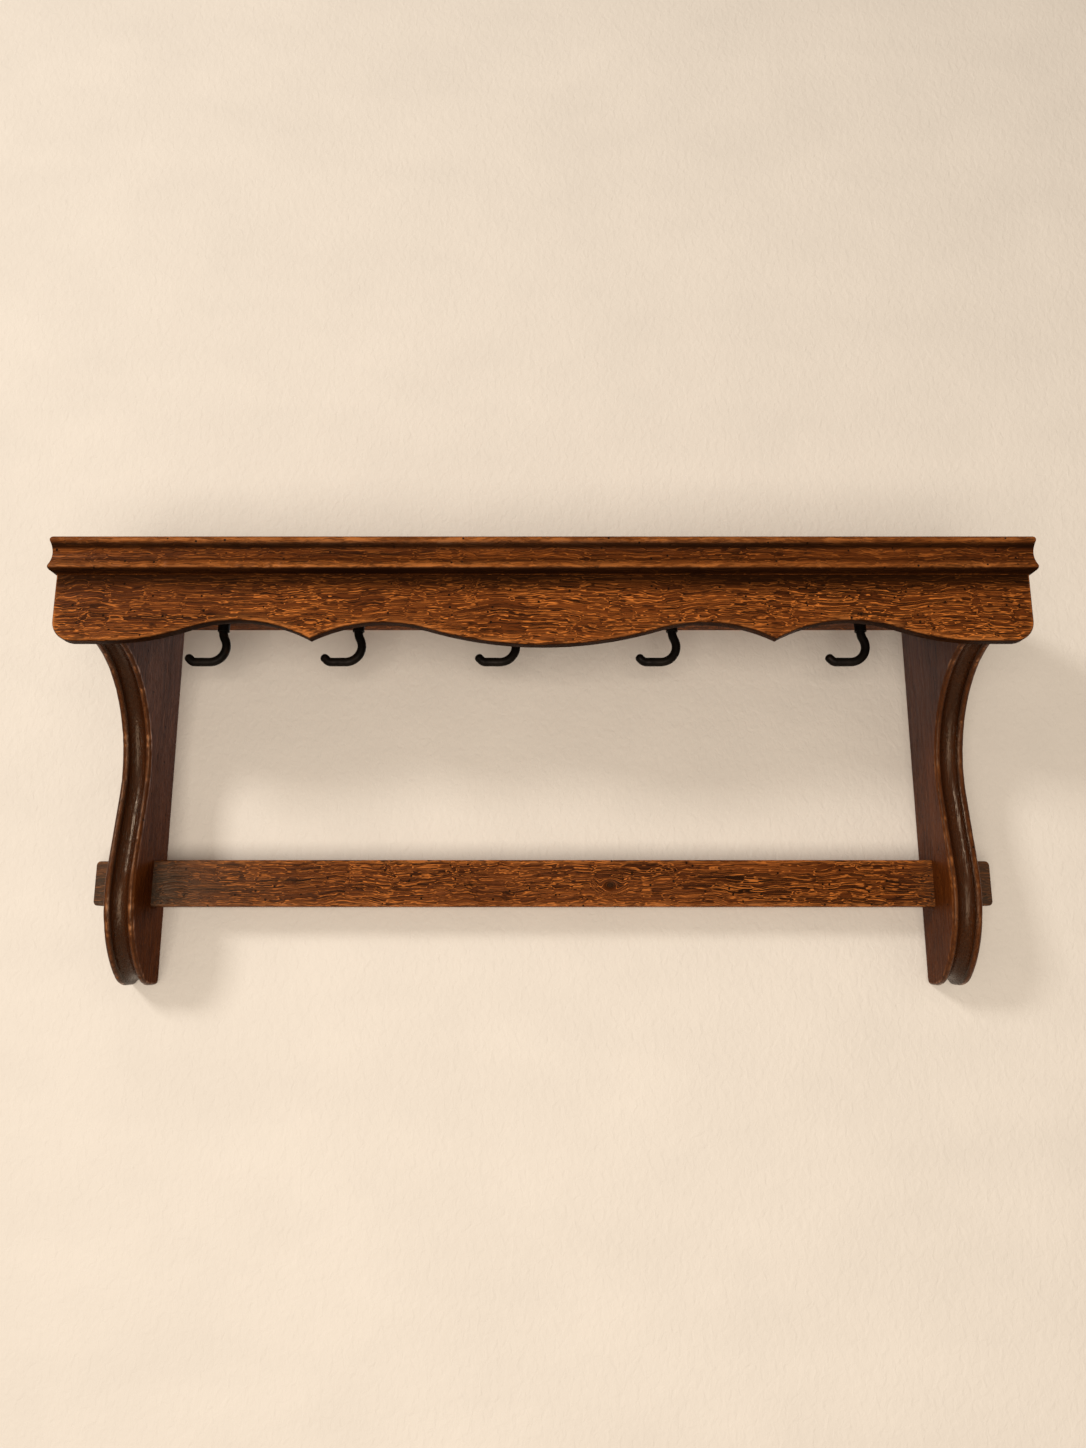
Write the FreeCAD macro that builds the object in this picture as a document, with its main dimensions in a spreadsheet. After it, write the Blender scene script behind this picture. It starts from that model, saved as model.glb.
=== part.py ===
"""Oak wall shelf: moulded top, scalloped apron, S-shaped brackets, hanging rail and swivelling iron hooks.

Millimetres. X runs along the shelf, the wall is the plane Y = 0 with the shelf in front of it at Y < 0,
and Z points up. The origin lies on the wall, midway between the two keyholes that the shelf hangs from.
"""
import FreeCAD, Part
import math
import operator
import os
import Sketcher
from types import SimpleNamespace
from FreeCAD import Placement, Rotation, Vector

SIZES = (
    # the top board and the moulding round its edge
    ("top_length", 896, "length of the top board"),
    ("top_depth", 172, "depth of the top board, wall to front edge"),
    ("top_thickness", 36, "thickness of the top board"),
    ("cornice_projection", 6.5, "how far the moulding stands out from the board's edge"),
    ("cornice_hollow", 2.7, "depth of the moulding's hollow behind its two beads"),
    ("cornice_bead_radius", 4, "radius of both beads of the moulding"),
    ("cornice_lower_bead", 6, "height of the lower bead's centre above the moulding's foot"),
    # the scalloped apron: drops are measured down from the underside of the top board
    ("apron_thickness", 12, "thickness of the apron"),
    ("apron_corner_radius", 19, "radius of the apron's lower corners"),
    ("apron_lobe_share", 0.896, "where the end lobe starts to rise, as a share of the half length"),
    ("apron_lobe_fall", 19.8, "fall of the end lobe below the outer arch's crown"),
    ("apron_belly_fall", 21.3, "fall of the middle belly below the inner arch's crown"),
    ("outer_arch_share", 0.626, "middle of the outer arch, as a share of the half length"),
    ("outer_arch_drop", 43.5, "drop of the outer arch's crown"),
    ("outer_arch_radius", 140, "radius of the outer arch"),
    ("inner_arch_share", 0.328, "middle of the inner arch, as a share of the half length"),
    ("inner_arch_drop", 45.5, "drop of the inner arch's crown"),
    ("inner_arch_radius", 146, "radius of the inner arch"),
    # the end brackets
    ("bracket_inset", 31, "distance of a bracket's outer face from the end of the top board"),
    ("bracket_thickness", 28, "thickness of a bracket"),
    ("waist_depth", 65, "depth of a bracket at its waist"),
    ("shoulder_drop", 57, "drop of the crown of the hollow sweep above the waist"),
    ("sweep_overrun", 17.5, "how far the crown of the hollow sweep would lie in front of the apron's back"),
    ("flank_length", 72.3, "length of the straight flank between the two sweeps"),
    ("bulge_swell", 17.5, "how much deeper the lower bulge is than the waist"),
    ("lower_sweep_radius", 105.5, "radius of the round sweep of the bulge"),
    ("toe_radius", 40, "radius of the bracket's foot"),
    ("toe_turn", 52.3, "degrees below level at which the bulge runs into the foot"),
    ("heel_radius", 7, "rounding of the foot's corner at the wall"),
    ("inner_bead_width", 5.5, "width of the bead along the bracket's inner face"),
    ("outer_bead_width", 6.5, "width of the bead along the bracket's outer face"),
    ("bead_share", 0.34, "height of the beads as a share of the inner bead's width"),
    ("hollow_share", 0.36, "depth of the hollow between the beads as a share of its width"),
    ("planing", 0.4, "what the moulding plane takes off the bracket's edge at the bead crests"),
    # the hanging rail, its through tenons and the brackets' mortises
    ("rail_rise", 8, "height of the rail's middle above the bulge's deepest point"),
    ("rail_height", 46, "height of the rail"),
    ("rail_thickness", 20, "thickness of the rail"),
    ("rail_back", 15, "gap between the rail and the wall"),
    ("rail_easing", 1.2, "rounding of the rail's long edges"),
    ("tenon_shoulder", 1, "step between rail and tenon above and below"),
    ("tenon_cheek", 2.5, "step between rail and tenon in front and behind"),
    ("tenon_projection", 30, "how far the tenons stand out beyond the brackets"),
    ("tenon_corner_radius", 4, "rounding of the tenon ends"),
    ("joint_clearance", 0.1, "glue gap round tenons, dowels, plates and screws, each side"),
    # dowels between brackets and top, and glue blocks behind the apron
    ("dowel_diameter", 10, "diameter of the dowels"),
    ("dowel_cover", 12, "wood left in the top above a dowel"),
    ("dowel_back", 40, "distance of the rear dowels from the wall"),
    ("dowel_front", 42, "distance of the front dowels from the apron's back"),
    ("glue_block_side", 16, "height and depth of the three-cornered glue blocks"),
    ("glue_block_length", 45, "length of the glue blocks"),
    ("glue_block_inner_share", 0.158, "middle of the inner glue blocks, as a share of the half length"),
    ("glue_block_outer_share", 0.552, "middle of the outer glue blocks, as a share of the half length"),
    # the keyhole hanger plates let into the brackets' back edges
    ("hanger_drop", 50, "drop of the keyholes below the underside of the top board"),
    ("keyhole_diameter", 10, "round of the keyhole, which passes the wall screw's head"),
    ("keyslot_width", 5, "slot of the keyhole, which holds the wall screw's shank"),
    ("keyslot_rise", 12, "rise of the slot's end above the keyhole's round"),
    ("plate_thickness", 2, "thickness of a hanger plate"),
    ("plate_side", 3, "metal beside the keyhole"),
    ("plate_end", 14, "metal above and below the keyhole"),
    ("plate_screw_margin", 6, "distance of the plate screws from the plate's ends"),
    ("plate_screw_diameter", 3, "shank diameter of the plate screws"),
    ("plate_screw_length", 16, "length of the plate screws"),
    ("head_room", 14, "depth of the hollow behind a plate for the wall screw's head"),
    ("head_gap", 1, "gap round the wall screw's head in that hollow"),
    # the iron hooks
    ("hook_1_share", -0.828, "place of the first hook, as a share of the half gap between the brackets"),
    ("hook_2_share", -0.478, "place of the second hook"),
    ("hook_3_share", -0.08, "place of the third hook"),
    ("hook_4_share", 0.334, "place of the fourth hook"),
    ("hook_5_share", 0.823, "place of the fifth hook"),
    ("hook_depth_share", 0.436, "distance of the stems from the wall, as a share of the top's depth"),
    ("hook_rod", 9, "diameter of the hooks' rod"),
    ("hook_lean", 28, "degrees the rod leans out below its stem"),
    ("hook_lean_inside", 12.5, "inside radius of the bend below the stem"),
    ("hook_bowl_inside", 11.5, "inside radius of the bowl"),
    ("hook_floor_length", 14, "length of the straight floor of the bowl"),
    ("hook_tip_inside", 2, "inside radius of the bend up to the tip"),
    ("hook_tip_turn", 45, "degrees the tip turns up"),
    ("hook_tip_length", 3, "length of the straight tip before its rounded end"),
    ("hook_tip_share", 0.88, "rounding of the tip's end, as a share of the rod's radius"),
    ("hook_head_lap", 2.5, "how far the stem's head overhangs the rod all round"),
    ("hook_head_height", 4.5, "height of that head"),
    ("swivel_clearance", 0.08, "running gap between stem and rosette, each side"),
    ("swivel_play", 0.2, "gap under the stem's head"),
    # the rosettes that the hooks turn in
    ("rosette_height", 25, "height of a rosette"),
    ("rosette_lip", 1.4, "thickness of the trumpet's wall at its mouth"),
    ("rosette_wall", 3.6, "thickness of the trumpet's wall round the head's chamber"),
    ("trumpet_radius", 34, "radius of the trumpet's hollow flare"),
    ("chamber_depth", 7, "depth of the chamber for the stem's head"),
    ("chamber_gap", 0.7, "gap round the head in its chamber"),
    ("flange_width", 7.4, "width of the flange round the trumpet"),
    ("flange_thickness", 3, "thickness of that flange"),
    ("rosette_screw_diameter", 3, "shank diameter of the rosette screws"),
    ("rosette_screw_length", 14, "length of the rosette screws in the wood"),
    ("screw_head_diameter", 5.6, "head diameter of all screws"),
    ("screw_head_height", 1.8, "head height of all screws"),
)
HOOKS = ("1", "2", "3", "4", "5")
ROSETTE_SCREW_COUNT = 3
MARGIN = 3  # how far a cut runs on past the wood
START, END, CENTRE = range(1, 4)


class Measure:
    """A size that carries its number and the expression that binds it to the sheet."""

    def __init__(self, value, words=None):
        self.value = float(value)
        self.words = words or f"{self.value:g}"

    def work(self, other, sign, action, swapped=False):
        other = other if isinstance(other, Measure) else Measure(other)
        first, second = (other, self) if swapped else (self, other)
        words = f"({first.words} {sign} {second.words})"
        return Measure(action(first.value, second.value), words)

    def __add__(self, other):
        return self.work(other, "+", operator.add)

    def __sub__(self, other):
        return self.work(other, "-", operator.sub)

    def __rsub__(self, other):
        return self.work(other, "-", operator.sub, swapped=True)

    def __mul__(self, other):
        return self.work(other, "*", operator.mul)

    def __truediv__(self, other):
        return self.work(other, "/", operator.truediv)

    def __neg__(self):
        return self * -1

    def __float__(self):
        return self.value

    def root(self):
        return Measure(math.sqrt(self.value), f"sqrt({self.words})")

    def cosine(self):
        return Measure(math.cos(math.radians(self.value)), f"cos({self.words} * 1 deg)")

    def sine(self):
        return Measure(math.sin(math.radians(self.value)), f"sin({self.words} * 1 deg)")

    __radd__ = __add__
    __rmul__ = __mul__


def spot(x, y):
    """A point of a sketch."""
    return Vector(float(x), float(y), 0)


def polar(centre, radius, degrees):
    """The point at this angle on a circle."""
    turn = math.radians(degrees)
    return centre + Vector(float(radius) * math.cos(turn), float(radius) * math.sin(turn), 0)


def heading(centre, point):
    """The angle in degrees, 0 to 360, at which a point is seen from a centre."""
    return math.degrees(math.atan2(point.y - centre.y, point.x - centre.x)) % 360


doc = FreeCAD.newDocument("wall_shelf")
sheet = doc.addObject("Spreadsheet::Sheet", "sizes")
for row, (alias, value, meaning) in enumerate(SIZES, 1):
    sheet.set(f"A{row}", alias)
    sheet.set(f"B{row}", str(value))
    sheet.set(f"C{row}", meaning)
    sheet.setAlias(f"B{row}", alias)
doc.recompute()
s = SimpleNamespace(**{alias: Measure(sheet.get(alias), f"sizes.{alias}") for alias, _, _ in SIZES})

# sizes that follow from the sheet and that more than one piece needs
half_length = s.top_length / 2
underside = s.hanger_drop
apron_back = s.top_depth - s.apron_thickness
bracket_outer = half_length - s.bracket_inset
bracket_inner = bracket_outer - s.bracket_thickness
bracket_middle = bracket_outer - s.bracket_thickness / 2
upper_sweep = apron_back - s.waist_depth + s.sweep_overrun
waist_drop = s.shoulder_drop + upper_sweep
both_sweeps = upper_sweep + s.lower_sweep_radius
bulge_drop = waist_drop + (
    s.flank_length * s.flank_length + s.bulge_swell * (2 * both_sweeps - s.bulge_swell)
).root()
bulge_depth = s.waist_depth + s.bulge_swell
toe_step = s.lower_sweep_radius - s.toe_radius
bracket_height = bulge_drop + toe_step * s.toe_turn.sine() + s.toe_radius
rail_drop = bulge_drop - s.rail_rise
rail_middle = s.rail_back + s.rail_thickness / 2
tenon_height = s.rail_height - 2 * s.tenon_shoulder
tenon_thickness = s.rail_thickness - 2 * s.tenon_cheek
dowel_depth = s.top_thickness - s.dowel_cover
dowel_rows = {"back": s.dowel_back, "front": apron_back - s.dowel_front}
plate_width = s.keyhole_diameter + 2 * s.plate_side
plate_height = s.keyhole_diameter + s.keyslot_rise + 2 * s.plate_end
plate_middle = s.keyslot_rise / 2
plate_screws = plate_height / 2 - s.plate_screw_margin
hook_places = {n: getattr(s, f"hook_{n}_share") * bracket_inner for n in HOOKS}
hook_depth = s.hook_depth_share * s.top_depth
head_diameter = s.hook_rod + 2 * s.hook_head_lap
chamber = head_diameter + 2 * s.chamber_gap
trumpet_top = chamber + 2 * s.rosette_wall
screw_circle = trumpet_top + s.flange_width


def bind(thing, **sizes):
    """Binds properties of an object to the sheet."""
    for name, size in sizes.items():
        thing.setExpression(name, size.words)


def place(thing, x=None, y=None, z=None):
    """Binds the place of an object to the sheet."""
    for axis, size in zip("xyz", (x, y, z)):
        if size is not None:
            thing.setExpression(f"Placement.Base.{axis}", size.words)


def new_body(label):
    """An empty body with this label."""
    body = doc.addObject("PartDesign::Body", label)
    body.Label = label
    return body


def origin_feature(body, role):
    """A plane or an axis of the body's own origin."""
    return next(f for f in body.Origin.OriginFeatures if f.Role == role)


class Outline:
    """A sketch drawn edge by edge, whose edges are then joined and bound to the sheet by constraints."""

    def __init__(self, body, name, role):
        self.sketch = body.newObject("Sketcher::SketchObject", name)
        self.sketch.AttachmentSupport = [(origin_feature(body, role), "")]
        self.sketch.MapMode = "FlatFace"
        self.ends = {}

    def line(self, first, last):
        edge = self.sketch.addGeometry(Part.LineSegment(first, last), False)
        self.ends[edge] = (START, END)
        return edge

    def arc(self, centre, radius, first, last):
        """An arc from one angle to another, in degrees; a falling angle runs clockwise."""
        circle = Part.Circle(centre, Vector(0, 0, 1), float(radius))
        low, high = sorted((math.radians(first), math.radians(last)))
        edge = self.sketch.addGeometry(Part.ArcOfCircle(circle, low, high), False)
        self.ends[edge] = (START, END) if last > first else (END, START)
        return edge

    def add(self, kind, *values):
        return self.sketch.addConstraint(Sketcher.Constraint(kind, *values))

    def bound(self, kind, size, *where):
        """A sized constraint bound to the sheet."""
        degrees = kind == "Angle"
        index = self.add(kind, *where, math.radians(size.value) if degrees else size.value)
        name = f"{kind}_{index}"
        self.sketch.renameConstraint(index, name)
        self.sketch.setExpression(f"Constraints.{name}", f"{size.words} * 1 deg" if degrees else size.words)

    def fix(self, edge, point, x=None, y=None):
        """Binds a point's distances from the origin; a plain 0 puts it on the axis itself."""
        for size, kind, axis in ((x, "DistanceX", -2), (y, "DistanceY", -1)):
            if isinstance(size, Measure) and size.value >= 0:
                self.bound(kind, size, -1, START, edge, point)
            elif isinstance(size, Measure):
                self.bound(kind, -size, edge, point, -1, START)
            elif size is not None:
                self.add("PointOnObject", edge, point, axis)

    def join(self, edges, tangent=True):
        """Joins edges end to start, smoothly or not."""
        for one, other in zip(edges, edges[1:]):
            kind = "Tangent" if tangent else "Coincident"
            self.add(kind, one, self.ends[one][1], other, self.ends[other][0])

    def level(self, *edges):
        for edge in edges:
            self.add("Horizontal", edge)

    def upright(self, *edges):
        for edge in edges:
            self.add("Vertical", edge)

    def circle(self, x, y, radius):
        """A circle whose centre and radius are bound to the sheet."""
        edge = self.sketch.addGeometry(Part.Circle(spot(x, y), Vector(0, 0, 1), float(radius)), False)
        self.fix(edge, CENTRE, x, y)
        self.bound("Radius", radius, edge)

    def closed(self, corners, arcs=()):
        """A closed outline through corners bound to the sheet.

        The edge after each corner is straight, or an arc where arcs gives its radius and its turn,
        which is 1 to the left and -1 to the right.
        """
        arcs = dict(arcs)
        edges = []
        for number, corner in enumerate(corners):
            first, last = spot(*corner), spot(*corners[(number + 1) % len(corners)])
            if number not in arcs:
                edges.append(self.line(first, last))
                continue
            radius, turn = arcs[number]
            chord = last - first
            left = Vector(-chord.y, chord.x, 0) / chord.Length
            rise = math.sqrt(radius.value**2 - chord.Length**2 / 4)
            centre = (first + last) / 2 + left * rise * turn
            begin, stop = heading(centre, first), heading(centre, last)
            stop = begin + turn * ((turn * (stop - begin)) % 360)
            edges.append(self.arc(centre, radius, begin, stop))
        self.join(edges + edges[:1], tangent=False)
        for edge, corner in zip(edges, corners):
            self.fix(edge, self.ends[edge][0], *corner)
        for number, (radius, _) in arcs.items():
            self.bound("Radius", radius, edges[number])

    def rectangle(self, left, right, low, high):
        self.closed([(left, low), (right, low), (right, high), (left, high)])


def feature(body, kind, name, outline, **sizes):
    """A pad, pocket or revolution of a sketch, with its sizes bound to the sheet."""
    made = body.newObject(f"PartDesign::{kind}", name)
    made.Profile = outline.sketch
    bind(made, **sizes)
    return made


def cut_both_ways(body, name, outline, depth):
    """A pocket that reaches this deep on both sides of its sketch."""
    made = feature(body, "Pocket", name, outline, Length=2 * depth)
    made.SideType = "Symmetric"
    return made


def pad_both_ways(body, name, outline, half):
    """A pad that reaches this far on both sides of its sketch."""
    made = feature(body, "Pad", name, outline, Length=2 * half)
    made.SideType = "Symmetric"
    return made


def turn_on_lathe(body, name, outline):
    """A full revolution of a sketch about its upright axis."""
    made = feature(body, "Revolution", name, outline)
    made.ReferenceAxis = (outline.sketch, ["V_Axis"])
    made.Angle = 360
    return made


def round_edges(body, name, base, radius, chosen):
    """A fillet on those edges of a feature that the test chooses."""
    doc.recompute()
    names = [f"Edge{number}" for number, edge in enumerate(base.Shape.Edges, 1) if chosen(edge)]
    made = body.newObject("PartDesign::Fillet", name)
    made.Base = (base, names)
    bind(made, Radius=radius)
    return made


def box(label, length, width, height):
    """A Part box with its sides bound to the sheet."""
    made = doc.addObject("Part::Box", label)
    bind(made, Length=length, Width=width, Height=height)
    return made


def cylinder(label, diameter, height):
    """A Part cylinder with its sizes bound to the sheet."""
    made = doc.addObject("Part::Cylinder", label)
    bind(made, Radius=diameter / 2, Height=height)
    return made


def countersink(label, wide, narrow):
    """A Part cone as high as a screw's head, bound to the sheet."""
    made = doc.addObject("Part::Cone", label)
    bind(made, Radius1=wide / 2, Radius2=narrow / 2, Height=s.screw_head_height)
    return made


def lie_back(thing):
    """Turns an upright object so that its top points away from the wall."""
    thing.Placement = Placement(Vector(), Rotation(Vector(1, 0, 0), 90))


def cut(label, base, tools):
    """The base without the tools."""
    waste = doc.addObject("Part::Compound", label + "_waste")
    waste.Links = tools
    made = doc.addObject("Part::Cut", label)
    made.Base = base
    made.Tool = waste
    made.Label = label
    return made


def group(label, things):
    """Several equal objects that share one node."""
    made = doc.addObject("Part::Compound", label)
    made.Links = things
    return made


def fuse(label, base, tool):
    """Two objects as one solid."""
    made = doc.addObject("Part::Fuse", label)
    made.Base = base
    made.Tool = tool
    made.Refine = True
    return made


def screw_holes():
    """Places of the rosette screws, rosette by rosette."""
    for number in HOOKS:
        for turn in range(ROSETTE_SCREW_COUNT):
            angle = Measure(90 + 360 * turn / ROSETTE_SCREW_COUNT)
            x = hook_places[number] + screw_circle / 2 * angle.cosine()
            yield x, screw_circle / 2 * angle.sine() - hook_depth


def make_top_board():
    """A plain board with blind holes below for the bracket dowels and the rosette screws."""
    board = box("top_blank", s.top_length, s.top_depth, s.top_thickness)
    place(board, -half_length, -s.top_depth, underside)
    holes = []
    for side in (-1, 1):
        for back in dowel_rows.values():
            hole = cylinder(
                "top_dowel_hole", s.dowel_diameter + 2 * s.joint_clearance, dowel_depth + s.joint_clearance
            )
            place(hole, side * bracket_middle, -back, underside)
            holes.append(hole)
    for x, y in screw_holes():
        hole = cylinder(
            "pilot_hole",
            s.rosette_screw_diameter + 2 * s.joint_clearance,
            s.rosette_screw_length + s.joint_clearance,
        )
        place(hole, x, y, underside)
        holes.append(hole)
    return cut("top_board", board, holes)


def cornice_profile(body, role, outward):
    """The moulding's section: two round beads with a smooth hollow between, and a sloping foot."""
    bead, low, hollow = s.cornice_bead_radius, s.cornice_lower_bead, s.cornice_hollow
    reach = s.cornice_projection - bead
    rise = (s.top_thickness - bead - low) / 2
    cove = (rise * rise / hollow + hollow) / 2 - bead

    def point(x, z):
        return spot(outward * x, z)

    def turned(degrees):
        return degrees if outward > 0 else 180 - degrees

    upper, lower = spot(reach, s.top_thickness - bead), spot(reach, low)
    middle = spot(s.cornice_projection - hollow + cove, low + rise)
    meet = math.degrees(math.atan2(upper.y - middle.y, upper.x - middle.x))
    slope = math.degrees(math.atan2(lower.y, lower.x) - math.asin(bead.value / lower.Length))
    foot = polar(lower, bead, slope - 90)
    drawn = Outline(body, "profile", role)
    back = drawn.line(spot(0, 0), spot(0, s.top_thickness))
    lid = drawn.line(spot(0, s.top_thickness), point(reach, s.top_thickness))
    upper_bead = drawn.arc(point(upper.x, upper.y), bead, turned(90), turned(meet - 180))
    cove_arc = drawn.arc(point(middle.x, middle.y), cove, turned(meet), turned(360 - meet))
    lower_bead = drawn.arc(point(lower.x, lower.y), bead, turned(180 - meet), turned(slope - 90))
    sole = drawn.line(point(foot.x, foot.y), spot(0, 0))
    drawn.upright(back)
    drawn.level(lid)
    drawn.join([sole, back, lid], tangent=False)
    drawn.join([lid, upper_bead, cove_arc, lower_bead, sole])
    drawn.fix(back, START, 0, 0)
    drawn.fix(back, END, y=s.top_thickness)
    drawn.fix(upper_bead, CENTRE, x=outward * reach)
    drawn.fix(lower_bead, CENTRE, outward * reach, low)
    drawn.bound("Radius", bead, upper_bead)
    drawn.bound("Radius", bead, lower_bead)
    drawn.bound("Radius", cove, cove_arc)
    return drawn


def mitre(body, name, corner, outer, side):
    """Cuts off the waste beyond a mitre: a triangle, seen from above."""
    drawn = Outline(body, name, "XY_Plane")
    drawn.closed([corner, outer, side])
    cut_both_ways(body, name + "_mitre", drawn, s.top_thickness + MARGIN)


def make_front_cornice():
    """The moulding along the front edge, mitred at both ends."""
    body = new_body("front_cornice")
    profile = cornice_profile(body, "YZ_Plane", -1)
    pad_both_ways(body, "run", profile, half_length + s.cornice_projection)
    reach = s.cornice_projection + MARGIN
    for side, name in ((-1, "left_corner"), (1, "right_corner")):
        end, past = side * half_length, side * (half_length + reach)
        mitre(body, name, (end, 0), (past, -reach), (past, 0))
    place(body, y=-s.top_depth, z=underside)
    return body


def make_cornice_return(label, side):
    """The moulding along one end, mitred at the front and square at the wall."""
    body = new_body(label)
    profile = cornice_profile(body, "XZ_Plane", side)
    feature(body, "Pad", "run", profile, Length=s.top_depth + s.cornice_projection)
    reach = s.cornice_projection + MARGIN
    past = -(s.top_depth + reach)
    mitre(body, "front_corner", (0, -s.top_depth), (side * reach, past), (0, past))
    place(body, x=side * half_length, z=underside)
    return body


def make_apron():
    """Half of the scalloped outline in tangent arcs, padded and mirrored about the middle."""
    end = s.outer_arch_drop + s.apron_lobe_fall
    belly = s.inner_arch_drop + s.apron_belly_fall
    corner, lobe = s.apron_corner_radius, s.apron_lobe_share * half_length
    outer_place, inner_place = s.outer_arch_share * half_length, s.inner_arch_share * half_length
    outer = spot(outer_place, -s.outer_arch_drop - s.outer_arch_radius)
    inner = spot(inner_place, -s.inner_arch_drop - s.inner_arch_radius)

    def hanging_arc(x, lowest, arch, radius):
        """Centre and radius of the round belly that hangs to a lowest point and runs into an arch."""
        across, up = x - arch.x, -lowest - arch.y
        own = (across**2 + up**2 - radius**2) / (2 * (radius - up))
        return Vector(x, own - lowest, 0), own

    lobe_centre, lobe_radius = hanging_arc(lobe.value, end.value, outer, s.outer_arch_radius.value)
    belly_centre, belly_radius = hanging_arc(0, belly.value, inner, s.inner_arch_radius.value)
    between = outer - inner
    along = between / between.Length
    foot = (between.Length**2 + s.inner_arch_radius.value**2 - s.outer_arch_radius.value**2) / 2 / between.Length
    rise = math.sqrt(s.inner_arch_radius.value**2 - foot**2)
    cusp = inner + along * foot + Vector(-along.y, along.x, 0) * rise
    lobe_angle, belly_angle = heading(outer, lobe_centre), heading(inner, belly_centre)

    body = new_body("apron")
    drawn = Outline(body, "half_outline", "XZ_Plane")
    top = drawn.line(spot(0, 0), spot(half_length, 0))
    edge = drawn.line(spot(half_length, 0), spot(half_length, corner - end))
    round_corner = drawn.arc(spot(half_length - corner, corner - end), corner, 0, -90)
    flat = drawn.line(spot(half_length - corner, -end), spot(lobe, -end))
    end_lobe = drawn.arc(lobe_centre, lobe_radius, -90, lobe_angle - 180)
    outer_arch = drawn.arc(outer, s.outer_arch_radius, lobe_angle, heading(outer, cusp))
    inner_arch = drawn.arc(inner, s.inner_arch_radius, heading(inner, cusp), belly_angle)
    middle_belly = drawn.arc(belly_centre, belly_radius, belly_angle - 180, -90)
    seam = drawn.line(spot(0, -belly), spot(0, 0))
    drawn.level(top, flat)
    drawn.upright(edge, seam)
    drawn.join([edge, round_corner, flat, end_lobe, outer_arch])
    drawn.join([inner_arch, middle_belly])
    drawn.join([outer_arch, inner_arch], tangent=False)
    drawn.join([middle_belly, seam, top, edge], tangent=False)
    drawn.fix(top, START, 0, 0)
    drawn.fix(top, END, x=half_length)
    drawn.fix(flat, END, lobe, -end)
    drawn.fix(seam, START, y=-belly)
    drawn.fix(middle_belly, CENTRE, x=0)
    drawn.fix(outer_arch, CENTRE, outer_place, -(s.outer_arch_drop + s.outer_arch_radius))
    drawn.fix(inner_arch, CENTRE, inner_place, -(s.inner_arch_drop + s.inner_arch_radius))
    drawn.bound("Radius", corner, round_corner)
    drawn.bound("Radius", s.outer_arch_radius, outer_arch)
    drawn.bound("Radius", s.inner_arch_radius, inner_arch)
    half_apron = feature(body, "Pad", "half_apron", drawn, Length=s.apron_thickness)
    whole = body.newObject("PartDesign::Mirrored", "whole_apron")
    whole.Originals = [half_apron]
    whole.MirrorPlane = (origin_feature(body, "YZ_Plane"), [""])
    body.Tip = whole
    place(body, y=-apron_back, z=underside)
    return body


def bracket_outline(body):
    """The S-shaped side view in tangent arcs, hung from the top back corner, with its moulded edges named.

    The hollow sweep runs on to its crown, past the apron's back, and is trimmed there later.
    """
    hollow_depth, bulge_back = s.waist_depth + upper_sweep, s.lower_sweep_radius - bulge_depth
    toe_depth = toe_step * s.toe_turn.cosine() - bulge_back
    hollow, bulge = spot(-hollow_depth, -waist_drop), spot(bulge_back, -bulge_drop)
    toe = spot(-toe_depth, s.toe_radius - bracket_height)
    crown = hollow + Vector(0, upper_sweep.value, 0)
    lean = math.degrees(math.acos(both_sweeps.value / (bulge - hollow).Length))
    flank_angle = heading(hollow, bulge) - 360 + lean
    toe_angle = 180 + s.toe_turn.value

    drawn = Outline(body, "outline", "YZ_Plane")
    sole = drawn.line(spot(0, -bracket_height), spot(-toe_depth, -bracket_height))
    toe_arc = drawn.arc(toe, s.toe_radius, 270, toe_angle)
    bulge_arc = drawn.arc(bulge, s.lower_sweep_radius, toe_angle, 180 + flank_angle)
    flank = drawn.line(
        polar(bulge, s.lower_sweep_radius, 180 + flank_angle), polar(hollow, upper_sweep, flank_angle)
    )
    hollow_arc = drawn.arc(hollow, upper_sweep, flank_angle, 90)
    front = drawn.line(crown, spot(-hollow_depth, 0))
    top = drawn.line(spot(-hollow_depth, 0), spot(0, 0))
    back = drawn.line(spot(0, 0), spot(0, -bracket_height))
    drawn.level(sole, top)
    drawn.upright(front, back)
    drawn.join([sole, toe_arc, bulge_arc, flank, hollow_arc])
    drawn.join([hollow_arc, front, top, back, sole], tangent=False)
    drawn.add("Vertical", hollow_arc, CENTRE, hollow_arc, drawn.ends[hollow_arc][1])
    drawn.fix(back, START, 0, 0)
    drawn.fix(back, END, y=-bracket_height)
    drawn.fix(hollow_arc, CENTRE, -hollow_depth, -waist_drop)
    drawn.fix(bulge_arc, CENTRE, bulge_back, -bulge_drop)
    drawn.bound("Radius", upper_sweep, hollow_arc)
    drawn.bound("Radius", s.lower_sweep_radius, bulge_arc)
    drawn.bound("Radius", s.toe_radius, toe_arc)
    return drawn, [f"Edge{edge + 1}" for edge in (sole, toe_arc, bulge_arc, flank, hollow_arc)]


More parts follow.
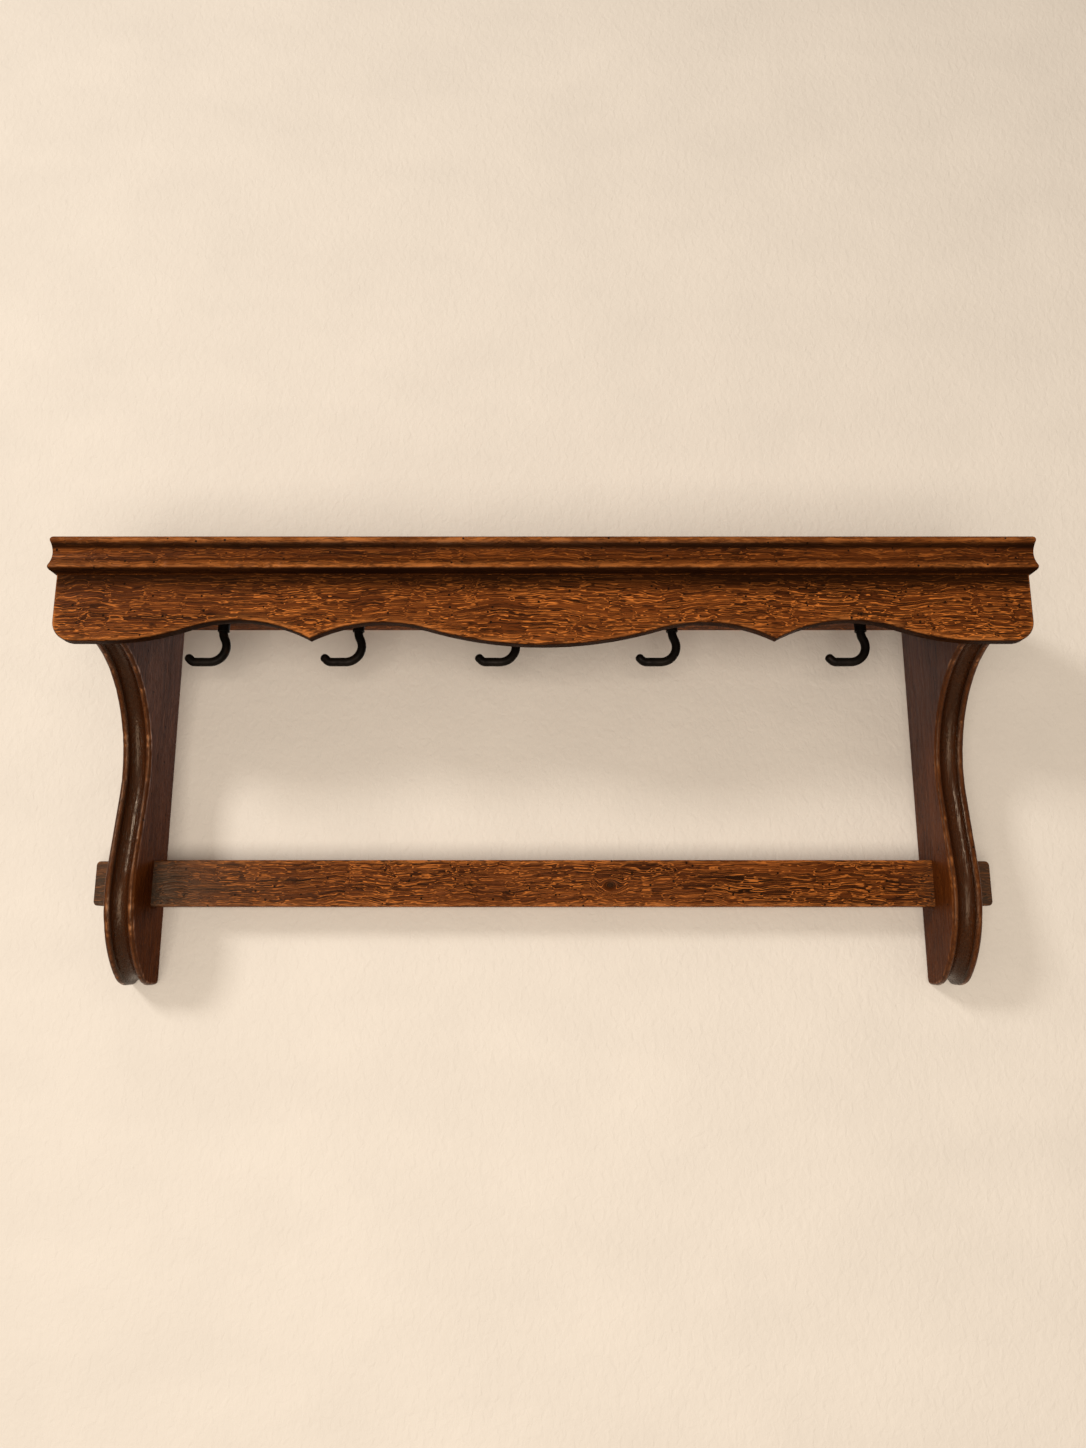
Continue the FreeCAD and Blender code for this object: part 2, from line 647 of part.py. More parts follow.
def moulding_cutter(body, side):
    """What the moulding plane takes off the bracket's edge: bead, hollow and bead, seen at the wall."""
    bead = s.bead_share * s.inner_bead_width
    hollow_width = s.bracket_thickness - s.inner_bead_width - s.outer_bead_width
    floor = s.planing + bead - bracket_height
    low, near, far = -(bracket_height + MARGIN), Measure(-MARGIN), s.bracket_thickness + MARGIN

    def bow(width, height):
        """Radius of an arc of this height over a chord of this width."""
        return (width * width / 4 + height * height) / (2 * height)

    drawn = Outline(body, "moulding_cutter", "XZ_Plane")
    across = [s.inner_bead_width, s.bracket_thickness - s.outer_bead_width, s.bracket_thickness, far]
    corners = [(0, floor)] + [(side * x, floor) for x in across]
    corners += [(side * far, low), (side * near, low), (side * near, floor)]
    arcs = {
        0: (bow(s.inner_bead_width, bead), side),
        1: (bow(hollow_width, s.hollow_share * hollow_width), -side),
        2: (bow(s.outer_bead_width, bead), side),
    }
    drawn.closed(corners, arcs)
    return drawn


def make_bracket(label, side):
    """An S bracket with its moulded edge, a mortise for the rail, dowel holes and a hanger recess."""
    body = new_body(label)
    outline, moulded_edges = bracket_outline(body)
    blank = feature(body, "Pad", "blank", outline, Length=s.bracket_thickness)
    blank.Reversed = side < 0
    moulding = body.newObject("PartDesign::SubtractivePipe", "moulded_edge")
    moulding.Profile = moulding_cutter(body, side).sketch
    moulding.Spine = (outline.sketch, moulded_edges)
    through = s.bracket_thickness + MARGIN
    middle = side * s.bracket_thickness / 2

    front = Outline(body, "apron_seat", "YZ_Plane")
    front.rectangle(-(apron_back + s.sweep_overrun + MARGIN), -apron_back, -waist_drop, Measure(MARGIN))
    cut_both_ways(body, "front_trim", front, through)

    heel = Outline(body, "heel_waste", "YZ_Plane")
    low, past = -(bracket_height + MARGIN), Measure(MARGIN)
    top = s.heel_radius - bracket_height
    heel.closed(
        [(-s.heel_radius, -bracket_height), (0, top), (past, top), (past, low), (-s.heel_radius, low)],
        {0: (s.heel_radius, 1)},
    )
    cut_both_ways(body, "heel_rounding", heel, through)

    mortise = Outline(body, "mortise", "YZ_Plane")
    half_thick = tenon_thickness / 2 + s.joint_clearance
    half_tall = tenon_height / 2 + s.joint_clearance
    mortise.rectangle(
        -(rail_middle + half_thick), half_thick - rail_middle, -(rail_drop + half_tall), half_tall - rail_drop
    )
    cut_both_ways(body, "rail_mortise", mortise, through)

    dowels = Outline(body, "dowel_places", "XY_Plane")
    for back in dowel_rows.values():
        dowels.circle(middle, -back, s.dowel_diameter / 2 + s.joint_clearance)
    cut_both_ways(body, "dowel_holes", dowels, dowel_depth + s.joint_clearance)

    def recess(name, width, low, high, depth):
        """A recess in the middle of the back edge, between two heights over the keyhole."""
        drawn = Outline(body, name, "XZ_Plane")
        drawn.rectangle(middle - width / 2, middle + width / 2, low - underside, high - underside)
        cut_both_ways(body, name + "_cut", drawn, depth)

    half_plate = plate_height / 2 + s.joint_clearance
    recess(
        "plate_recess", plate_width + 2 * s.joint_clearance,
        plate_middle - half_plate, plate_middle + half_plate, s.plate_thickness,
    )
    half_head = s.keyhole_diameter / 2 + s.head_gap
    recess("head_recess", 2 * half_head, -half_head, s.keyslot_rise + half_head, s.head_room)

    pilots = Outline(body, "pilot_places", "XZ_Plane")
    for up in (plate_screws, -plate_screws):
        pilots.circle(middle, plate_middle + up - underside, s.plate_screw_diameter / 2 + s.joint_clearance)
    cut_both_ways(body, "pilot_holes", pilots, s.plate_screw_length + s.joint_clearance)
    place(body, x=side * bracket_inner, z=underside)
    return body


def make_hanging_rail():
    """A square rail with a shouldered through tenon at each end, its long edges eased."""
    body = new_body("hanging_rail")
    section = Outline(body, "rail_section", "YZ_Plane")
    thick, tall = s.rail_thickness / 2, s.rail_height / 2
    section.rectangle(-thick, thick, -tall, tall)
    run = pad_both_ways(body, "rail_run", section, bracket_inner)
    round_edges(
        body, "eased_edges", run, s.rail_easing,
        lambda edge: abs(edge.tangentAt(edge.FirstParameter).x) > 0.9,
    )
    tongue = Outline(body, "tenon_section", "YZ_Plane")
    tongue.rectangle(-tenon_thickness / 2, tenon_thickness / 2, -tenon_height / 2, tenon_height / 2)
    tip = bracket_outer + s.tenon_projection
    tenons = pad_both_ways(body, "tenons", tongue, tip)
    round_edges(
        body, "rounded_tenon_ends", tenons, s.tenon_corner_radius,
        lambda edge: abs(edge.tangentAt(edge.FirstParameter).y) > 0.9
        and abs(abs(edge.CenterOfMass.x) - tip.value) < 0.01,
    )
    place(body, y=-rail_middle, z=underside - rail_drop)
    return body


def make_bracket_dowels():
    """Two dowels between each bracket and the top."""
    dowels = []
    for side in (-1, 1):
        for back in dowel_rows.values():
            dowel = cylinder("dowel", s.dowel_diameter, 2 * dowel_depth)
            place(dowel, side * bracket_middle, -back, underside - dowel_depth)
            dowels.append(dowel)
    return group("bracket_dowels", dowels)


def make_glue_blocks():
    """Three-cornered blocks rubbed into the corner between apron and top."""
    deep, length, none = s.glue_block_side, s.glue_block_length, Measure(0)
    blocks = []
    for share in (s.glue_block_inner_share, s.glue_block_outer_share):
        for side in (-1, 1):
            block = doc.addObject("Part::Wedge", "glue_block")
            bind(block, Xmin=none, X2min=none, Xmax=length, X2max=length, Ymin=none, Ymax=deep)
            bind(block, Zmin=-deep, Zmax=none, Z2min=none, Z2max=none)
            place(block, side * share * half_length - length / 2, -apron_back, underside)
            blocks.append(block)
    return group("glue_blocks", blocks)


def make_keyhole_plate(label, side):
    """A steel plate with a keyhole, a round with a slot above it, and two countersunk screw holes."""
    middle, through = side * bracket_middle, s.plate_thickness + 2 * MARGIN
    blank = box(label + "_blank", plate_width, s.plate_thickness, plate_height)
    place(blank, middle - plate_width / 2, -s.plate_thickness, plate_middle - plate_height / 2)
    slot = box(label + "_slot", s.keyslot_width, through, s.keyslot_rise)
    place(slot, middle - s.keyslot_width / 2, -(s.plate_thickness + MARGIN))
    tools = [slot]
    screw_hole = s.plate_screw_diameter + 2 * s.joint_clearance
    for name, diameter, height in (
        ("round", s.keyhole_diameter, None),
        ("slot_end", s.keyslot_width, s.keyslot_rise),
        ("upper_hole", screw_hole, plate_middle + plate_screws),
        ("lower_hole", screw_hole, plate_middle - plate_screws),
    ):
        hole = cylinder(f"{label}_{name}", diameter, through)
        lie_back(hole)
        place(hole, middle, Measure(MARGIN), height)
        tools.append(hole)
    for name, height in (("upper", plate_middle + plate_screws), ("lower", plate_middle - plate_screws)):
        sink = countersink(
            f"{label}_{name}_sink", s.screw_head_diameter + 2 * s.joint_clearance, screw_hole
        )
        lie_back(sink)
        place(sink, middle, None, height)
        tools.append(sink)
    return cut(label, blank, tools)


def make_keyhole_plate_screws():
    """Two screws through each hanger plate into the bracket, their heads sunk flush with the plate."""
    screws = []
    for side in (-1, 1):
        for up in (plate_screws, -plate_screws):
            head = countersink("plate_screw_head", s.screw_head_diameter, s.plate_screw_diameter)
            shank = cylinder("plate_screw_shank", s.plate_screw_diameter, s.plate_screw_length)
            for thing in (head, shank):
                lie_back(thing)
                place(thing, side * bracket_middle, None, plate_middle + up)
            screws.append(fuse("plate_screw", head, shank))
    return group("keyhole_plate_screws", screws)


def make_hook(number):
    """A bent iron rod with a head on its stem, which hangs in the rosette and turns in it."""
    body = new_body(f"hook_{number}")
    rod = s.hook_rod / 2
    ledge = s.rosette_height - s.chamber_depth + s.swivel_play
    crown, head = ledge + s.hook_head_height, head_diameter / 2
    stem = Outline(body, "stem_and_head", "XZ_Plane")
    stem.closed([(0, 0), (rod, 0), (rod, ledge), (head, ledge), (head, crown), (0, crown)])
    turn_on_lathe(body, "turned_stem", stem)

    bend, bowl, tip_bend = rod + s.hook_lean_inside, rod + s.hook_bowl_inside, rod + s.hook_tip_inside
    rounding = s.hook_tip_share * rod
    tip_length = s.hook_tip_length + rounding
    lean, tip_turn = s.hook_lean.value, s.hook_tip_turn.value
    first = spot(bend, 0)
    leaning = polar(first, bend, 180 + lean)
    middle = polar(leaning, bowl, 180 + lean)
    floor_start = polar(middle, bowl, -90)
    floor_end = floor_start - spot(s.hook_floor_length, 0)
    last = floor_end + spot(0, tip_bend)
    tip_start = polar(last, tip_bend, -90 - tip_turn)
    tip_end = polar(tip_start, tip_length, 180 - tip_turn)
    path = Outline(body, "hook_path", "XZ_Plane")
    lean_arc = path.arc(first, bend, 180, 180 + lean)
    bowl_arc = path.arc(middle, bowl, lean, -90)
    floor = path.line(floor_start, floor_end)
    tip_arc = path.arc(last, tip_bend, -90, -90 - tip_turn)
    tip = path.line(tip_start, tip_end)
    path.join([lean_arc, bowl_arc, floor, tip_arc, tip])
    path.level(floor)
    path.fix(lean_arc, START, 0, 0)
    path.fix(lean_arc, CENTRE, y=0)
    path.bound("Radius", bend, lean_arc)
    path.bound("Radius", bowl, bowl_arc)
    path.bound("Radius", tip_bend, tip_arc)
    path.bound("Angle", s.hook_lean, lean_arc)
    path.bound("Angle", s.hook_tip_turn, tip_arc)
    path.bound("Distance", s.hook_floor_length, floor)
    path.bound("Distance", tip_length, tip)
    section = Outline(body, "rod_section", "XY_Plane")
    section.circle(0, 0, rod)
    bent = body.newObject("PartDesign::AdditivePipe", "bent_rod")
    bent.Profile = section.sketch
    bent.Spine = (path.sketch, [f"Edge{edge + 1}" for edge in (lean_arc, bowl_arc, floor, tip_arc, tip)])
    end = Vector(tip_end.x, 0, tip_end.y)
    round_edges(
        body, "rounded_tip", bent, rounding, lambda edge: (edge.CenterOfMass - end).Length < 0.01
    )
    place(body, hook_places[number], -hook_depth, underside - s.rosette_height)
    return body


def make_rosette(number):
    """A turned iron trumpet with a flange, a bore for the stem and a chamber for its head."""
    body = new_body(f"rosette_{number}")
    tall, flange = s.rosette_height, trumpet_top / 2 + s.flange_width
    bore = s.hook_rod / 2 + s.swivel_clearance
    step, ledge = tall - s.flange_thickness, tall - s.chamber_depth
    section = Outline(body, "section", "XZ_Plane")
    section.closed(
        [
            (bore, 0), (bore + s.rosette_lip, 0), (trumpet_top / 2, step), (flange, step),
            (flange, tall), (chamber / 2, tall), (chamber / 2, ledge), (bore, ledge),
        ],
        {1: (s.trumpet_radius, -1)},
    )
    turn_on_lathe(body, "turned", section)
    hole = Outline(body, "screw_place", "XY_Plane")
    hole.circle(0, screw_circle / 2, s.rosette_screw_diameter / 2 + s.joint_clearance)
    screw_hole = cut_both_ways(body, "screw_hole", hole, tall + MARGIN)
    holes = body.newObject("PartDesign::PolarPattern", "screw_holes")
    holes.Originals = [screw_hole]
    holes.Axis = (origin_feature(body, "Z_Axis"), [""])
    holes.Angle = 360
    holes.Occurrences = ROSETTE_SCREW_COUNT
    body.Tip = holes
    place(body, hook_places[number], -hook_depth, underside - tall)
    return body


def make_rosette_screws():
    """The screws that hold every rosette to the underside of the top, heads below the flanges."""
    screws = []
    seat = underside - s.flange_thickness
    for x, y in screw_holes():
        head = cylinder("rosette_screw_head", s.screw_head_diameter, s.screw_head_height)
        place(head, x, y, seat - s.screw_head_height)
        shank = cylinder(
            "rosette_screw_shank", s.rosette_screw_diameter, s.flange_thickness + s.rosette_screw_length
        )
        place(shank, x, y, seat)
        screws.append(fuse("rosette_screw", head, shank))
    return group("rosette_screws", screws)


def make_shelf():
    """Every piece of the shelf, in the order it is put together."""
    pieces = [
        make_top_board(),
        make_front_cornice(),
        make_cornice_return("left_cornice_return", -1),
        make_cornice_return("right_cornice_return", 1),
        make_apron(),
        make_bracket("left_bracket", -1),
        make_bracket("right_bracket", 1),
        make_hanging_rail(),
        make_bracket_dowels(),
        make_glue_blocks(),
        make_keyhole_plate("left_keyhole_plate", -1),
        make_keyhole_plate("right_keyhole_plate", 1),
        make_keyhole_plate_screws(),
        make_rosette_screws(),
    ]
    for number in HOOKS:
        pieces.append(make_rosette(number))
        pieces.append(make_hook(number))
    return pieces


shelf = make_shelf()
doc.recompute()
for thing in doc.Objects:
    if {"Invalid", "Error"} & set(thing.State):
        raise RuntimeError(f"{thing.Label} failed: {thing.State}")
for piece in shelf:
    if piece.Shape.isNull() or not piece.Shape.isValid():
        raise RuntimeError(f"{piece.Label} has no valid shape")
os.makedirs("parts", exist_ok=True)
for piece in shelf:
    piece.Shape.exportStep(os.path.join("parts", f"{piece.Label}.step"))
    print(piece.Label, len(piece.Shape.Solids), "solids", round(piece.Shape.Volume), "mm3")
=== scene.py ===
# %% [markdown]
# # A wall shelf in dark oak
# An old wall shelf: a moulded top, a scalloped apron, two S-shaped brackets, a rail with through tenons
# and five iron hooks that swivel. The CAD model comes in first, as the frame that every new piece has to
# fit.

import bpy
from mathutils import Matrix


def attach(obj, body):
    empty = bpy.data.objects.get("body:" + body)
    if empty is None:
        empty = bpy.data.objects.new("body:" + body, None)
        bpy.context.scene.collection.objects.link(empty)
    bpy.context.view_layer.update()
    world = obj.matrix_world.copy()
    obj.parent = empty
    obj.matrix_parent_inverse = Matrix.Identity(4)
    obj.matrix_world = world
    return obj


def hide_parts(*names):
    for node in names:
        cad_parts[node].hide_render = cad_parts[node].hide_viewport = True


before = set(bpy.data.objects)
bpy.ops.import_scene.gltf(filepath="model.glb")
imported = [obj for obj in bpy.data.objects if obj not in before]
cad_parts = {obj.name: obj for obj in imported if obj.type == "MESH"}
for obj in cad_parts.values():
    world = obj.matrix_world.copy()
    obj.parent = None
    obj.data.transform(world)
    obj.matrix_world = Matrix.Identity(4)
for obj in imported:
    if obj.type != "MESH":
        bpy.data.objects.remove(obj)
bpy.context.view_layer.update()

# %% [markdown]
# The photograph looks up at the shelf from a little below it, close enough for the brackets to splay.
# A camera could be placed by eye, but the top board's corners fix its distance, height, tilt and lens,
# so those four numbers were solved from the corners. The picture is taller than it is wide, and Blender
# then counts the 36 mm of film along the height.

# %% Camera
import math

import bmesh
import bpy
import numpy as np

lens = bpy.data.cameras.new("camera")
lens.lens, lens.sensor_width = 25.36, 36.0
camera = bpy.data.objects.new("camera", lens)
camera.location = (0.0, -1.0614, -0.2816)
camera.rotation_euler = (math.radians(90 + 12.11), 0.0, 0.0)
bpy.context.collection.objects.link(camera)
bpy.context.scene.camera = camera
bpy.context.scene.view_settings.view_transform = "Standard"
print("camera stands", -camera.location.y, "m from the wall")

# %% [markdown]
# Every finish below is a net of shader nodes, and writing one out socket by socket takes many lines.
# These small helpers shorten that: one starts a material, one adds a node and links what feeds it, and
# the rest name the few nets that come up again and again. All patterns are worked out in space, so no
# picture file is needed and a pattern doesn't stretch on a curved face.


# %% Helpers for finishes
def start_finish(name):
    """A new material; returns it with its node tree, its surface shader and the place on the piece."""
    finish = bpy.data.materials.new(name)
    finish.use_nodes = True
    tree = finish.node_tree
    place = tree.nodes.new("ShaderNodeTexCoord").outputs["Object"]
    return finish, tree, tree.nodes["Principled BSDF"], place


def add(tree, kind, sockets, **settings):
    """Adds a node: numbers are set on its sockets, and outputs of other nodes are linked to them."""
    made = tree.nodes.new("ShaderNode" + kind)
    for name, value in settings.items():
        setattr(made, name, value)
    for socket, value in sockets.items():
        if isinstance(value, bpy.types.NodeSocket):
            tree.links.new(value, made.inputs[socket])
        else:
            made.inputs[socket].default_value = value
    return made


def clouds(tree, place, per_metre, detail=3.0, roughness=0.5, distortion=0.0):
    """Cloudy numbers round 0.5, with so many clouds to the metre along each of the three directions."""
    spread = add(tree, "VectorMath", {0: place, 1: per_metre}, operation="MULTIPLY").outputs[0]
    sockets = {"Vector": spread, "Scale": 1.0, "Detail": detail, "Roughness": roughness}
    return add(tree, "TexNoise", {**sockets, "Distortion": distortion}).outputs["Fac"]


def ease(tree, value, low, high, start=0.0, end=1.0):
    """Runs smoothly from start to end while the value runs from low to high."""
    sockets = {"Value": value, "From Min": low, "From Max": high, "To Min": start, "To Max": end}
    return add(tree, "MapRange", sockets, interpolation_type="SMOOTHSTEP").outputs["Result"]


def sums(tree, operation, first, second):
    """One step of arithmetic on two numbers."""
    return add(tree, "Math", {0: first, 1: second}, operation=operation).outputs[0]


def tint(tree, amount, under_bead_shade, over):
    """Lays one colour over another by this amount."""
    return add(tree, "Mix", {0: amount, 6: under_bead_shade, 7: over}, data_type="RGBA").outputs[2]


def shades(tree, value, steps):
    """Turns a number into a colour, by a ramp of (number, colour) steps."""
    ramp = add(tree, "ValToRGB", {"Fac": value})
    band = ramp.color_ramp.elements
    while len(band) < len(steps):
        band.new(0.5)
    for stop, (position, colour) in zip(band, steps):
        stop.position, stop.color = position, (*colour, 1.0)
    return ramp.outputs["Color"]


def emboss(tree, surface, height, strength, depth):
    """Lets a pattern catch the light like a relief of this depth in metres."""
    bump = add(tree, "Bump", {"Height": height, "Strength": strength, "Distance": depth})
    tree.links.new(bump.outputs[0], surface.inputs["Normal"])


print("helpers for finishes are ready")

# %% [markdown]
# The stage is a cream plaster wall just behind the shelf and a pale floor well below it. A solid wall
# would hide the back of the shelf in views from behind, and would also keep all light off it. So the
# wall shows only to camera and mirror rays that meet its front, and lets every other ray through. The
# shadow of the shelf still falls on it, because that shadow is worked out at the point the camera sees.


# %% Wall and floor
def plaster(name, colour):
    """Pale matt plaster with faint trowel clouds, seen from its front only."""
    finish, tree, surface, place = start_finish(name)
    trowel = clouds(tree, place, (7.0, 7.0, 11.0), detail=6.0, roughness=0.62)
    grit = clouds(tree, place, (150.0, 150.0, 110.0), detail=3.0, distortion=0.6)
    shade = shades(tree, trowel, [(0.3, [0.94 * c for c in colour]), (0.7, colour)])
    tree.links.new(shade, surface.inputs["Base Color"])
    surface.inputs["Roughness"].default_value = 0.9
    emboss(tree, surface, sums(tree, "ADD", trowel, grit), 0.5, 0.002)
    ray = add(tree, "LightPath", {})
    back = add(tree, "NewGeometry", {}).outputs["Backfacing"]
    seen = sums(tree, "MAXIMUM", ray.outputs["Is Camera Ray"], ray.outputs["Is Glossy Ray"])
    seen = sums(tree, "MULTIPLY", seen, sums(tree, "SUBTRACT", 1.0, back))
    clear = add(tree, "BsdfTransparent", {}).outputs[0]
    show = add(tree, "MixShader", {0: seen, 1: clear, 2: surface.outputs[0]})
    tree.links.new(show.outputs[0], tree.nodes["Material Output"].inputs["Surface"])
    return finish


def lay_sheet(name, corners, finish):
    """One flat four-cornered face of the stage, in metres."""
    mesh = bpy.data.meshes.new(name)
    mesh.from_pydata(corners, [], [(0, 1, 2, 3)])
    mesh.materials.append(finish)
    sheet = bpy.data.objects.new(name, mesh)
    bpy.context.collection.objects.link(sheet)
    return sheet


half_width, front_y, wall_y, floor_z, wall_top = 4.0, -5.0, 0.0015, -2.8, 3.0
foot_line = [(-half_width, wall_y, floor_z), (half_width, wall_y, floor_z)]
wall = lay_sheet(
    "wall",
    [*foot_line, (half_width, wall_y, wall_top), (-half_width, wall_y, wall_top)],
    plaster("cream plaster", (0.735, 0.668, 0.592)),
)
floor = lay_sheet(
    "floor",
    [(-half_width, front_y, floor_z), (half_width, front_y, floor_z), *foot_line[::-1]],
    plaster("pale floor", (0.70, 0.66, 0.61)),
)
print("stage:", wall.name, "and", floor.name)

# %% [markdown]
# In the photograph daylight comes from the upper left, and the shadows slide down to the right. A square
# lamp on that side gives the same direction, and its reflection draws the long gloss lines on the
# brackets. A broad lamp low in front opens the shadows, and one behind the wall keeps the back readable
# in other views. The world adds a little even light, warmer than the window, so the shade is warm. The
# levels are plain: a colour on the shelf renders about as it is written.


# %% Lamps
def hang_lamp(name, place, aim, size, watts, colour):
    """A square lamp of this size in metres at a place, facing a point."""
    light = bpy.data.lights.new(name, "AREA")
    light.size, light.energy, light.color = size, watts, colour
    lamp = bpy.data.objects.new(name, light)
    direction = np.array(aim) - np.array(place)
    level = np.hypot(direction[0], direction[1])
    lamp.location = place
    lamp.rotation_euler = (
        math.pi / 2 - math.atan2(-direction[2], level), 0.0, math.atan2(-direction[0], direction[1])
    )
    bpy.context.collection.objects.link(lamp)
    return lamp


shelf_middle = (0.0, -0.05, -0.1)
hang_lamp("window", (-2.6, -2.6, 1.8), shelf_middle, 0.8, 74.0, (1.0, 0.975, 0.93))
hang_lamp("room", (-0.2, -2.7, -0.9), (0.0, -0.02, -0.15), 1.8, 58.0, (1.0, 0.92, 0.82))
hang_lamp("behind", (0.6, 2.2, 0.9), shelf_middle, 1.6, 40.0, (1.0, 0.98, 0.95))
world = bpy.data.worlds.new("room light")
world.use_nodes = True
even_light = world.node_tree.nodes["Background"].inputs
even_light["Color"].default_value, even_light["Strength"].default_value = (1.0, 0.88, 0.75, 1.0), 0.36
bpy.context.scene.world = world

# %% [markdown]
# The wood is oak under a dark, worn stain. What gives it away as oak is its figure: long dark streaks,
# short wavy orange flecks where the rays are cut through, and fine black pores. A picture of oak could be
# laid on, but it would stretch and repeat. So streaks and pores are cloud textures drawn out along the
# grain, and the flecks are thin lines where such a cloud passes a level, like height lines on a map. A
# smooth random shift makes the grain sway, and one knot in the rail bends it into rings.


# %% Grain of the oak
def sway(tree, place, per_metre, amount):
    """Shifts a place sideways to the grain by a smooth random amount.

    The shift is at most half of the given amount either way, in metres.
    """
    noise = add(tree, "TexNoise", {"Vector": place, "Scale": per_metre, "Detail": 2.0}).outputs["Color"]
    shift = add(tree, "VectorMath", {0: noise, 1: (0.5, 0.5, 0.5)}, operation="SUBTRACT").outputs[0]
    shift = add(tree, "VectorMath", {0: shift, 1: (0.0, amount, amount)}, operation="MULTIPLY").outputs[0]
    return add(tree, "VectorMath", {0: place, 1: shift}, operation="ADD").outputs[0]


def round_knot(tree, place, knot, reach):
    """Bends the grain into rings round a knot, and also gives the distance from its middle.

    Near the knot the height across the grain gives way to that distance, so the grain runs round it.
    """
    off = add(tree, "VectorMath", {0: place, 1: knot}, operation="SUBTRACT").outputs[0]
    x, y, z = add(tree, "SeparateXYZ", {0: off}).outputs
    flat = add(tree, "CombineXYZ", {0: sums(tree, "MULTIPLY", x, 0.7), 2: z}).outputs[0]
    distance = add(tree, "VectorMath", {0: flat}, operation="LENGTH").outputs["Value"]
    near = ease(tree, distance, 0.12 * reach, reach, 1.0, 0.0)
    across = add(tree, "Mix", {0: near, 2: z, 3: distance}, data_type="FLOAT").outputs[0]
    along = sums(tree, "MULTIPLY", x, sums(tree, "SUBTRACT", 1.0, sums(tree, "MULTIPLY", near, 0.8)))
    return add(tree, "CombineXYZ", {0: along, 1: y, 2: across}).outputs[0], distance


def contour(tree, value, level, width):
    """Full where a value is close to a level, and nothing further off than the width.

    On cloudy numbers this draws thin lines, like the height lines on a map.
    """
    away = sums(tree, "ABSOLUTE", sums(tree, "SUBTRACT", value, level), 0.0)
    return ease(tree, away, 0.25 * width, width, 1.0, 0.0)


print("grain helpers are ready")

# %% [markdown]
# The figure puts these patterns on top of one another: first the streaks, as a ramp from nearly black to
# warm brown, then dark gaps and orange flecks from two levels of the same cloud, and last the pores. The
# lightness of the stain and the strength of the flecks are left open, because the apron is boldly flecked
# and the brackets are plain.


# %% Figure of the oak
# grime_and_shade is the near-black for pores, dirt and painted shade; bare_wood is the colour of wear.
grime_and_shade, bare_wood = (0.010, 0.0032, 0.0011, 1.0), (0.430, 0.140, 0.0300, 1.0)


def oak_figure(tree, grain, patch, tone, rays, streaks):
    """Colour of the wood, and the patterns that later steps read.

    These are the broad clouds, the streaks, the flecks and the pores, in this order.
    """

    def stain(red, green, blue):
        return (tone * red, tone * green, tone * blue)

    broad = clouds(tree, grain, (4.0, 26.0, 26.0), detail=3.0)
    streak = clouds(tree, grain, (9.0, 180.0, 180.0), detail=5.0, roughness=0.62)
    fleck = clouds(tree, grain, (15.0, 620.0, 620.0), detail=0.9, roughness=0.5, distortion=0.15)
    pore = clouds(tree, grain, (60.0, 1250.0, 1250.0), detail=2.0, roughness=0.6)
    figure = sums(tree, "ADD", sums(tree, "MULTIPLY", streak, 0.6), sums(tree, "MULTIPLY", broad, 0.4))
    figure = sums(tree, "ADD", sums(tree, "MULTIPLY", figure, streaks), 0.5 - 0.5 * streaks)
    colour = shades(tree, figure, [
        (0.37, stain(0.018, 0.0040, 0.0008)),
        (0.46, stain(0.068, 0.0158, 0.0028)),
        (0.56, stain(0.108, 0.0262, 0.0045)),
        (0.66, stain(0.190, 0.0500, 0.0088)),
    ])
    strength = ease(tree, patch, 0.30, 0.60, 0.60, 1.0)
    gaps = sums(tree, "MULTIPLY", strength, 0.2 + 0.7 * rays)
    gaps = sums(tree, "MULTIPLY", contour(tree, fleck, 0.440, 0.045), gaps)
    colour = tint(tree, gaps, colour, (*stain(0.010, 0.0026, 0.0007), 1.0))
    bright = sums(tree, "MULTIPLY", strength, 0.95 * rays)
    bright = sums(tree, "MULTIPLY", contour(tree, fleck, 0.532, 0.037), bright)
    colour = tint(tree, bright, colour, (*stain(0.520, 0.155, 0.0270), 1.0))
    pores = sums(tree, "MULTIPLY", ease(tree, pore, 0.57, 0.66), 0.75)
    return tint(tree, pores, colour, grime_and_shade), broad, streak, fleck, pores


print("figure is ready: stain, flecks and pores over", grime_and_shade[:3])
